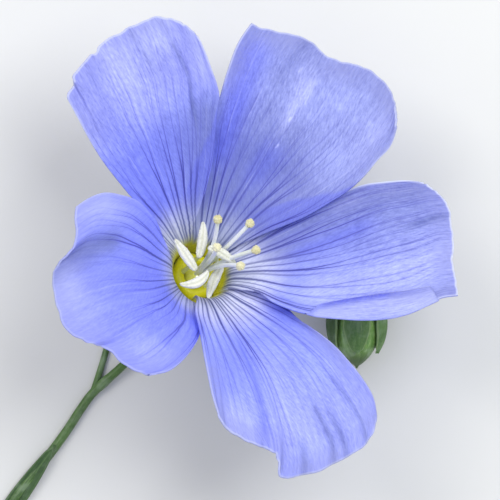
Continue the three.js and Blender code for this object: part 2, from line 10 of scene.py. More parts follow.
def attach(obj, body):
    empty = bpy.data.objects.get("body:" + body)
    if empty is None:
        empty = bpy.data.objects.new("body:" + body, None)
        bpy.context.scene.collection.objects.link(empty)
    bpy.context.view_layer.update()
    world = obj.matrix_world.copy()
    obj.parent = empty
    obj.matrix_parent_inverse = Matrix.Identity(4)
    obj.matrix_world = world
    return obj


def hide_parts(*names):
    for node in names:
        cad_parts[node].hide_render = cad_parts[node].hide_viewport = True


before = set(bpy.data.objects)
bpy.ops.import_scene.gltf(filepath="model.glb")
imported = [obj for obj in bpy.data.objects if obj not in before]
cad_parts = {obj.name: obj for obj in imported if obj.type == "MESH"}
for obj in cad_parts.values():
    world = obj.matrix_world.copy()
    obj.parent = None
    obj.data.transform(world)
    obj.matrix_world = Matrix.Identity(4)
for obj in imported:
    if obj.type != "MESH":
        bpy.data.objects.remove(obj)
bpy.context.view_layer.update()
bpy.context.scene.view_settings.view_transform = "Standard"
print("frame loaded:", len(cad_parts), "nodes")

# A cut flax flower lying on a surface. Lengths are in millimetres until a mesh is made, and
# colours are red, green and blue from 0 to 255.
mm = 0.001

flowerPlace = {"throat": (3.65, 11.55, 12.5), "lean": 27, "heading": 39}

capsulePlace = {"foot": (15.85, 8.95, 2.75), "pitch": -2}


# Small helpers for numbers and paths

def smooth(value):
    t = np.clip(value, 0, 1)
    return t * t * (3 - 2 * t)


def mix(a, b, t):
    return a + (b - a) * t


def bell(value, centre, width):
    return np.exp(-((value - centre) / width) ** 2)


def unit(vector):
    return vector / np.linalg.norm(vector)


def stacked(*parts):
    return np.stack(np.broadcast_arrays(*parts), axis=-1)


def running(steps):
    return np.concatenate([[0], np.cumsum(steps)])


def smoothPath(points, perSpan=24):
    # dense points of a curve that passes through every given point
    p = np.asarray(points, float)
    p = np.vstack([2 * p[0] - p[1], p, 2 * p[-1] - p[-2]])
    t = np.linspace(0, 1, perSpan, endpoint=False)[:, None]
    spans = []
    for k in range(1, len(p) - 2):
        before, start, end, after = p[k - 1:k + 3]
        d0, d1, d2 = np.linalg.norm(np.diff(p[k - 1:k + 3], axis=0), axis=1) ** 0.5
        leave = (start - before) / d0 - (end - before) / (d0 + d1) + (end - start) / d1
        arrive = (end - start) / d1 - (after - start) / (d1 + d2) + (after - end) / d2
        leave, arrive = leave * d1, arrive * d1
        square = 3 * (end - start) - 2 * leave - arrive
        cube = 2 * (start - end) + leave + arrive
        spans.append(start + leave * t + square * t ** 2 + cube * t ** 3)
    spans.append(p[-2][None])
    return np.vstack(spans)


def alongPath(path, shares):
    # points at shares of a path's length
    run = running(np.linalg.norm(np.diff(path, axis=0), axis=1))
    return stacked(*[np.interp(shares, run / run[-1], column) for column in path.T])


def curveAt(points, shares, perSpan=24):
    return alongPath(smoothPath(points, perSpan), shares)


def makePlace(origin, axis, side):
    return {"origin": np.array(origin), "axis": np.array(axis), "side": np.array(side),
            "other": np.cross(axis, side)}


def inPlace(place, radius, azimuth, height):
    # points at a radius, azimuth and height round a flower's or capsule's axis
    radius, azimuth, height = np.broadcast_arrays(radius, azimuth, height)
    return (place["origin"]
            + place["side"] * (radius * np.cos(azimuth))[..., None]
            + place["other"] * (radius * np.sin(azimuth))[..., None]
            + place["axis"] * height[..., None])


lean = math.radians(flowerPlace["lean"])
heading = math.radians(flowerPlace["heading"])
throat = np.array(flowerPlace["throat"])
flowerAxis = np.array([
    math.sin(lean) * math.cos(heading), math.sin(lean) * math.sin(heading), math.cos(lean)])
leanSide = np.array([
    math.cos(lean) * math.cos(heading), math.cos(lean) * math.sin(heading), -math.sin(lean)])
flower = makePlace(throat, flowerAxis, leanSide)

pitch = math.radians(capsulePlace["pitch"])
capsuleAxis = (0.0, -math.cos(pitch), math.sin(pitch))
capsule = makePlace(capsulePlace["foot"], capsuleAxis, (1.0, 0.0, 0.0))


def atAxisHeight(point):
    # plan place from the throat, with the height given along the flower's axis
    x, y, height = point
    z = (height - x * flowerAxis[0] - y * flowerAxis[1]) / flowerAxis[2]
    return throat + np.array([x, y, z])


def aboveSurface(point):
    x, y, rise = point
    return np.array([throat[0] + x, throat[1] + y, rise])


# Small helpers for meshes

def makeObject(name, points, faces, uv=None, values=None, edges=()):
    # uv and values are given for each point
    mesh = bpy.data.meshes.new(name)
    mesh.from_pydata(np.asarray(points, float) * mm, list(edges), [list(f) for f in faces])
    if uv is not None:
        layer = mesh.uv_layers.new(name="surface")
        corner = np.zeros(len(mesh.loops), np.int32)
        mesh.loops.foreach_get("vertex_index", corner)
        layer.data.foreach_set("uv", np.asarray(uv, np.float32)[corner].ravel())
    for key, numbers in (values or {}).items():
        numbers = np.asarray(numbers, np.float32)
        kind, field = ("FLOAT_VECTOR", "vector") if numbers.ndim == 2 else ("FLOAT", "value")
        attribute = mesh.attributes.new(key, kind, "POINT")
        attribute.data.foreach_set(field, numbers.ravel())
    obj = bpy.data.objects.new(name, mesh)
    bpy.context.scene.collection.objects.link(obj)
    if len(mesh.polygons):
        mesh.polygons.foreach_set("use_smooth", [True] * len(mesh.polygons))
    return obj


def sheetFaces(rows, columns, start=0):
    return [(a, a + 1, a + columns + 1, a + columns)
            for j in range(rows - 1)
            for a in range(start + j * columns, start + (j + 1) * columns - 1)]


def ringFaces(rows, sides, around=False):
    # faces between rings of points, and from the last ring to the first where it goes around
    faces = []
    for j in range(rows if around else rows - 1):
        here, there = j * sides, (j + 1) % rows * sides
        for i in range(sides):
            n = (i + 1) % sides
            faces.append((here + i, here + n, there + n, there + i))
    return faces


def closedRings(rings):
    # rings of points, from one pole to the other, closed by a fan at both ends
    count, sides = rings.shape[:2]
    points = np.vstack([rings.reshape(-1, 3), rings[0].mean(0)[None], rings[-1].mean(0)[None]])
    faces = ringFaces(count, sides)
    first, last = count * sides, count * sides + 1
    for i in range(sides):
        n = (i + 1) % sides
        faces.append((n, i, first))
        faces.append(((count - 1) * sides + i, (count - 1) * sides + n, last))
    return points, faces


def bake(obj):
    # the evaluated object becomes its own plain mesh
    graph = bpy.context.evaluated_depsgraph_get()
    plain = bpy.data.meshes.new_from_object(
        obj.evaluated_get(graph), preserve_all_data_layers=True, depsgraph=graph)
    obj.modifiers.clear()
    obj.data = plain
    return obj


def mergeDoubles(obj, distance=0.002 * mm):
    work = bmesh.new()
    work.from_mesh(obj.data)
    bmesh.ops.remove_doubles(work, verts=work.verts, dist=distance)
    bmesh.ops.dissolve_degenerate(work, edges=work.edges, dist=distance)
    work.to_mesh(obj.data)
    work.free()


def faceOut(obj):
    work = bmesh.new()
    work.from_mesh(obj.data)
    bmesh.ops.recalc_face_normals(work, faces=work.faces)
    work.to_mesh(obj.data)
    work.free()
    return obj


def thicken(obj, thickness):
    solid = obj.modifiers.new("thickness", "SOLIDIFY")
    solid.thickness = thickness * mm
    solid.offset = 0
    solid.material_offset = 1
    return bake(obj)


def join(name, objects):
    with bpy.context.temp_override(
            active_object=objects[0], object=objects[0],
            selected_objects=objects, selected_editable_objects=objects):
        bpy.ops.object.join()
    objects[0].name = name
    objects[0].data.name = name
    return objects[0]


def placePiece(obj, node):
    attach(obj, "root")
    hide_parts(node)


# Small helpers for nodes

class Value:
    # what a node puts out; arithmetic on it adds Math nodes, so a formula reads as one
    def __init__(self, socket):
        self.socket = socket
        self.tree = socket.id_data

    def __add__(self, other):
        return calc("ADD", self, other)

    def __sub__(self, other):
        return calc("SUBTRACT", self, other)

    def __mul__(self, other):
        return calc("MULTIPLY", self, other)

    def __truediv__(self, other):
        return calc("DIVIDE", self, other)

    def __abs__(self):
        return calc("ABSOLUTE", self)


def feed(socket, source):
    if isinstance(source, Value):
        source.tree.links.new(source.socket, socket)
    else:
        socket.default_value = source


def newNode(tree, kind, inputs=(), **settings):
    node = tree.nodes.new(kind)
    for key, value in settings.items():
        setattr(node, key, value)
    for key, source in dict(inputs).items():
        feed(node.inputs[key], source)
    return node


def valueOf(tree, kind, inputs=(), output=0, **settings):
    return Value(newNode(tree, kind, inputs, **settings).outputs[output])


def treeOf(sources):
    return next(source.tree for source in sources if isinstance(source, Value))


def calc(operation, *inputs, clamp=False):
    return valueOf(treeOf(inputs), "ShaderNodeMath", enumerate(inputs), operation=operation,
                   use_clamp=clamp)


def combine(*parts):
    return valueOf(treeOf(parts), "ShaderNodeCombineXYZ", enumerate(parts))


def separate(vector):
    node = newNode(vector.tree, "ShaderNodeSeparateXYZ", {0: vector})
    return [Value(socket) for socket in node.outputs]


def ramp(value, low, high, toLow=0.0, toHigh=1.0):
    # an eased change from one value to another
    return valueOf(value.tree, "ShaderNodeMapRange", {
        "Value": value, "From Min": low, "From Max": high, "To Min": toLow, "To Max": toHigh,
    }, interpolation_type="SMOOTHSTEP")


def linearColour(colour):
    shares = [channel / 255 for channel in colour]
    return (*[s / 12.92 if s <= 0.04045 else ((s + 0.055) / 1.055) ** 2.4 for s in shares], 1)


def mixColour(factor, first, second, mode="MIX"):
    first, second = [colour if isinstance(colour, Value) else linearColour(colour)
                     for colour in (first, second)]
    return valueOf(treeOf((factor, first)), "ShaderNodeMix", {0: factor, 6: first, 7: second},
                   output=2, data_type="RGBA", blend_type=mode, clamp_factor=True)


def noise(place, scale=1.0, detail=3, roughness=0.5):
    return valueOf(place.tree, "ShaderNodeTexNoise", {
        "Vector": place, "Scale": scale, "Detail": detail, "Roughness": roughness})


def randomFor(number, output):
    return valueOf(number.tree, "ShaderNodeTexWhiteNoise", {"W": number}, output,
                   noise_dimensions="1D")


def attributeValue(tree, name, output="Fac"):
    return valueOf(tree, "ShaderNodeAttribute", output=output, attribute_name=name)


def objectPlace(tree):
    return valueOf(tree, "ShaderNodeTexCoord", output="Object")


def newTree(kind, name, inputs, outputs):
    # an input is given with its usual value, or with its type where it has none
    tree = bpy.data.node_groups.new(name, kind)
    for label, usual in inputs.items():
        named = {float: "Float", int: "Int"}.get(type(usual), usual)
        socket = tree.interface.new_socket(label, in_out="INPUT", socket_type="NodeSocket" + named)
        if named != usual:
            socket.default_value = usual
    for label, named in outputs.items():
        tree.interface.new_socket(label, in_out="OUTPUT", socket_type="NodeSocket" + named)
    given = tree.nodes.new("NodeGroupInput")
    values = {socket.name: Value(socket) for socket in given.outputs if socket.name}
    return tree, values, tree.nodes.new("NodeGroupOutput").inputs


def useGroup(tree, group, inputs):
    node = newNode(tree, "ShaderNodeGroup", inputs, node_tree=group)
    return {socket.name: Value(socket) for socket in node.outputs}


def newMaterial(name):
    material = bpy.data.materials.new(name)
    material.use_nodes = True
    material.node_tree.nodes.clear()
    return material, material.node_tree


def bump(height, depth, strength=0.6):
    return valueOf(height.tree, "ShaderNodeBump", {
        "Strength": strength, "Distance": depth * mm, "Height": height})


def finish(colour, roughness, normal=None, sheen=0.0, specular=0.4, through=0.0):
    # the surface of a material; thin tissue lets some light through from behind
    tree = colour.tree
    facing = {} if normal is None else {"Normal": normal}
    surface = valueOf(tree, "ShaderNodeBsdfPrincipled", {
        "Base Color": colour, "Roughness": roughness, "Specular IOR Level": specular,
        "Sheen Weight": sheen, **facing})
    if through:
        behind = valueOf(tree, "ShaderNodeBsdfTranslucent", {"Color": colour, **facing})
        surface = valueOf(tree, "ShaderNodeMixShader", {"Fac": through, 1: surface, 2: behind})
    newNode(tree, "ShaderNodeOutputMaterial", {"Surface": surface})


# Veins that fan out over a petal and fork. "Across" is 0 to 1 over the petal's width, "Wide" is
# that width and "Distance" the way from the petal's foot, both in mm. Spreads and other widths
# are shares of the way from one vein to the next.

veinForm = {
    "turns": (4.0, 0.09), "wander": 0.9, "jitter": 0.55, "late": 7.0,
    "fork": {"from": 5.0, "range": 5.0, "length": 8.0, "spread": 0.25},
    "twig": {"from": 3.0, "range": 6.0, "length": 8.0, "spread": 0.12},
    "taper": (3.5, 13.0, 1.0, 0.38), "slimmest": 0.45, "faintest": 0.5, "core": 0.15,
    "glow": 3.2, "farEase": 4.0, "groove": 0.18, "grooveFaint": 0.3,
    "ridgeWidth": 0.07, "ridgeDraw": (0.3, 0.9), "ridgeFrom": (4.5, 7.5),
}


def veinGroup():
    tree, given, result = newTree("ShaderNodeTree", "veins", {
        "Across": 0.0, "Wide": 8.0, "Distance": 0.0, "Count": 15.0, "Seed": 0.0, "Width": 0.2,
        "Fade start": 9.0, "Fade end": 18.0, "Far start": 7.0, "Far": 0.5, "Early": 0.0,
    }, {"Vein": "Float", "Halo": "Float", "Ridge": "Float", "Relief": "Float"})
    form, fork, twig = veinForm, veinForm["fork"], veinForm["twig"]
    across, distance, seed = given["Across"], given["Distance"], given["Seed"]
    turns = combine(across * form["turns"][0], distance * form["turns"][1], seed)
    place = across * given["Count"] + (noise(turns, detail=1) - 0.5) * form["wander"]
    inCell = calc("FRACT", place) - 0.5
    first, second, third = separate(randomFor(calc("FLOOR", place) + seed * 7.3, "Color"))

    # each vein parts in two, and later each of these parts again
    start = first * fork["range"] + fork["from"]
    parted = ramp(distance, start, start + fork["length"], 0.0, fork["spread"])
    start = start + third * twig["range"] + twig["from"]
    partedAgain = ramp(distance, start, start + twig["length"], 0.0, twig["spread"])
    offCentre = abs(inCell - (second - 0.5) * form["jitter"])
    away = abs(abs(offCentre - parted) - partedAgain)

    scale = given["Count"] / given["Wide"]
    half = given["Width"] * ramp(distance, *form["taper"]) * (third + form["slimmest"]) * scale
    line = ramp(away, half * form["core"], half, 1.0, 0.0)
    glow = ramp(away, 0.0, half * form["glow"], 1.0, 0.0)
    reach = distance + (first - 0.5) * form["late"] + across * given["Early"]
    fade = ramp(reach, given["Fade start"], given["Fade end"], 1.0, 0.0)
    fade = fade * ramp(reach, given["Far start"], given["Far start"] + form["farEase"],
                       1.0, given["Far"])
    bold = calc("FRACT", second * 7.7) * (1 - form["faintest"]) + form["faintest"]
    fade = fade * bold

    # pale ridges between the veins
    between = place + 0.5
    draw = randomFor(calc("FLOOR", between) + seed * 3.1, "Value")
    fromRidge = abs(calc("FRACT", between) - 0.5)
    ridge = ramp(fromRidge, 0.0, scale * form["ridgeWidth"], 1.0, 0.0)
    ridge = ridge * ramp(draw, *form["ridgeDraw"]) * ramp(distance, *form["ridgeFrom"])
    sunken = ramp(away, 0.0, form["groove"], 1.0, 0.0)
    feed(result["Vein"], line * fade)
    feed(result["Halo"], glow * fade)
    feed(result["Ridge"], ridge)
    feed(result["Relief"], sunken * (fade * (1 - form["grooveFaint"]) + form["grooveFaint"]))
    return tree


# Faint unevenness of living tissue: large soft patches and a fine grain

def tissueGroup():
    tree, given, result = newTree("ShaderNodeTree", "tissue", {
        "Place": "Vector", "Patch": 0.5, "Grain": 0.5}, {"Tone": "Float", "Cells": "Float"})
    patches = noise(given["Place"], 260)
    cells = noise(given["Place"], 5200, detail=2, roughness=0.6)
    tone = (patches - 0.5) * given["Patch"] + (cells - 0.5) * given["Grain"] + 0.5
    feed(result["Tone"], tone)
    feed(result["Cells"], cells)
    return tree


veins = veinGroup()
tissue = tissueGroup()

# The petals' finish. Streaks and broad bands lie along the petal, silk is its finest grain:
# each is turns across and along, detail and roughness of a noise, and its share in the light.

petalFinish = {
    # Painted light and shade among these colours: grey and deep paint shade, pale paints paler
    # patches and highlights, the dull margin colour paints shade along the rim and edge paints a
    # thin highlight on the rim.
    "bowl": (246, 242, 66), "bowlShade": (218, 216, 40), "edge": (236, 240, 255),
    "ridge": (206, 212, 252), "vein": (52, 54, 146), "veinNear": (74, 84, 144),
    "halo": (104, 106, 222), "haloNear": (168, 175, 222), "deepShade": (96, 106, 232),
    "paleAndLit": (196, 202, 253), "greyShade": (122, 131, 198), "under": (168, 176, 251),
    "rimShade": (144, 148, 204),
    "streaks": (60.0, 0.3, 4, 0.62), "streakLight": 0.38, "tissueLight": 0.42,
    "silk": (7.0, 1.5, 2, 0.6), "silkLight": 0.62,
    "broad": (26.0, 0.14, 2, 0.5), "grainFrom": (8, 16), "blueKept": 0.6,
    "bowlEase": 0.7, "tintEase": 1.5, "underShare": 0.6, "underVeins": 0.35, "nearEnd": 8.0,
    "haloShare": 0.5, "edgeEase": 4, "rimShadeWidth": (0.2, 2.4), "rimShadeDraw": (0.38, 0.6, 0.3, 1.0),
    "edgeWidth": (0.03, 0.2), "relief": 0.05, "veinDepth": -0.6, "streakDepth": 0.6,
    "silkDepth": 0.5, "roughness": 0.44, "roughnessRange": 0.14, "sheen": 0.08,
    "specular": 0.25, "through": 0.3,
}


def petalNoise(kind, across, distance, seed):
    acrossTurns, alongTurns, detail, roughness = petalFinish[kind]
    place = combine(across * acrossTurns, distance * alongTurns, seed)
    return noise(place, detail=detail, roughness=roughness)


def aroundOne(value, contrast):
    return (value - 0.5) * contrast + 1.0


def petalMaterial(name, petal, upper):
    look, ground, bowlEnd, seed = petalFinish, petal["ground"], petal["bowlEnd"], petal["seed"]
    material, tree = newMaterial(name)
    across, along, _ = separate(valueOf(tree, "ShaderNodeUVMap", uv_map="surface"))
    distance = along * petalForm["uvLength"]
    wide = attributeValue(tree, "wide")
    vein = useGroup(tree, veins, {
        "Across": across, "Wide": wide, "Distance": distance, "Count": petal["veins"],
        "Seed": seed, "Width": petal["veinWidth"], "Early": petal.get("early", 0.0),
        "Fade start": petal["veinFade"][0], "Fade end": petal["veinFade"][1],
        "Far start": petal["veinFar"][0], "Far": petal["veinFar"][1]})
    uneven = useGroup(tree, tissue, {"Place": objectPlace(tree), "Patch": 0.9, "Grain": 0.5})
    streaks = petalNoise("streaks", across, distance, seed)
    silk = petalNoise("silk", across * wide, distance, seed)
    broad = petalNoise("broad", across, distance, seed + 5)

    # ground colours: the yellow bowl, the pale throat, the middle and the rim, set for each petal
    # and partly painted light and shade, lighter or darker by how that petal faces the light
    bowl = mixColour(uneven["Tone"], look["bowlShade"], look["bowl"])
    reach = distance + streaks * 2.0
    colour = mixColour(ramp(distance, bowlEnd - look["bowlEase"], bowlEnd + look["bowlEase"]),
                       bowl, ground["throat"])
    colour = mixColour(ramp(reach, *ground["toMiddle"]), colour, ground["middle"])
    colour = mixColour(ramp(reach, *ground["toRim"]), colour, ground["rim"])
    beyond = ramp(distance, bowlEnd, bowlEnd + look["tintEase"])
    if not upper:
        colour = mixColour(beyond * look["underShare"], colour, look["under"])
    # painted shade in the grey and deep tints, paler patches and painted highlights in the pale
    # one
    tints = separate(attributeValue(tree, "tints", "Vector"))
    for share, tint in zip(tints, ("greyShade", "paleAndLit", "deepShade")):
        colour = mixColour(calc("MULTIPLY", share, beyond, clamp=True), colour, look[tint])

    # the play of light in the tissue, which is stronger toward the rim
    light = (aroundOne(streaks, look["streakLight"])
             * aroundOne(uneven["Tone"], look["tissueLight"]) * aroundOne(silk, look["silkLight"]))
    light = (light - 1.0) * ramp(distance, *look["grainFrom"], 1.0, petal["grain"])
    light = light + (broad - 0.5) * petal["broad"] + 1.0
    greyShade = valueOf(tree, "ShaderNodeCombineColor", {
        0: light, 1: light, 2: calc("POWER", light, look["blueKept"])})
    colour = mixColour(1.0, colour, greyShade, "MULTIPLY")

    veinShare = petal["veinStrength"] * (1 if upper else look["underVeins"])
    start = ramp(distance, bowlEnd - 0.8, bowlEnd + 0.5)
    farther = ramp(distance, bowlEnd + 1, look["nearEnd"])
    for part, near, far, amount in (("Halo", "haloNear", "halo", look["haloShare"]),
                                    ("Vein", "veinNear", "vein", 1.0)):
        tint = mixColour(farther, look[near], look[far])
        colour = mixColour(vein[part] * (amount * veinShare) * start, colour, tint)
    ridge = vein["Ridge"] * ramp(streaks, 0.4, 0.6)
    colour = mixColour(ridge * petal["ridges"], colour, look["ridge"])

    # painted shade in patches along the margin, and a thin pale rim painted as a highlight
    toEdge = attributeValue(tree, "toEdge")
    outer = ramp(distance, petal["edgeFrom"], petal["edgeFrom"] + look["edgeEase"])
    rimShade = outer * ramp(toEdge, *look["rimShadeWidth"], petal["rimShade"], 0.0)
    rimShade = rimShade * ramp(uneven["Tone"], *look["rimShadeDraw"])
    colour = mixColour(rimShade, colour, look["rimShade"])
    # painted highlight: a thin pale line along the rim
    edge = ramp(toEdge, *look["edgeWidth"], petal["edge"], 0.0) * outer
    colour = mixColour(edge, colour, look["edge"])

    relief = (vein["Relief"] * look["veinDepth"] + streaks * look["streakDepth"]
              + silk * look["silkDepth"])
    rough = uneven["Cells"] * look["roughnessRange"] + look["roughness"]
    finish(colour, rough, bump(relief, look["relief"]), look["sheen"], look["specular"],
           look["through"])
    return material


# Petals: each is a grid of points between four edges. Outlines are plan points from the throat,
# one margin over its neighbour and the other under it. Slopes and the claw's azimuth are in
# degrees. A band is where it lies across the petal at its start and its end, its width, its
# start and end from the foot, and its amount: in colour for grey, pale and deep, in height for
# folds. Grey and deep bands are painted shade, in valleys and folds, where petals lie on each
# other and where a petal turns from the light; pale bands are paler patches of the petal and
# painted highlights, the narrowest of them painted glints. Each petal's ground colours are partly
# its own and partly painted light and shade, lighter or darker by how the petal faces the light.

petalForm = {
    "clawRadius": 1.95, "clawFoot": -3.8, "clawLength": 2.8, "clawSlope": 82,
    "clawHalfAngle": 25, "bend": 1.8, "blade": 17, "overlapLift": 0.5,
    "azimuthRadius": 5.6, "sectionStep": 0.1, "sectionLength": 28.4, "uvLength": 20.0,
    "foldMargin": 0.28, "foldStart": 0.3, "fanFrom": 6.5, "fanEase": 3,
    "columns": 150, "rows": 128, "rowCrowding": 1.15, "thickness": 0.16,
    "tuck": {"share": 0.32, "turn": 30, "from": 2, "sink": 0.16, "sinkFrom": 2.8},
    "teeth": (61, 97), "teethFrom": 0.92, "ruffleFrom": 0.62,
    "ruffles": ((8, 0.09, 1.0), (19, 0.045, 2.3), (33, 0.02, 1.1)),
    "rib": 0.014, "ribFrom": 4, "ribEase": 8,
}

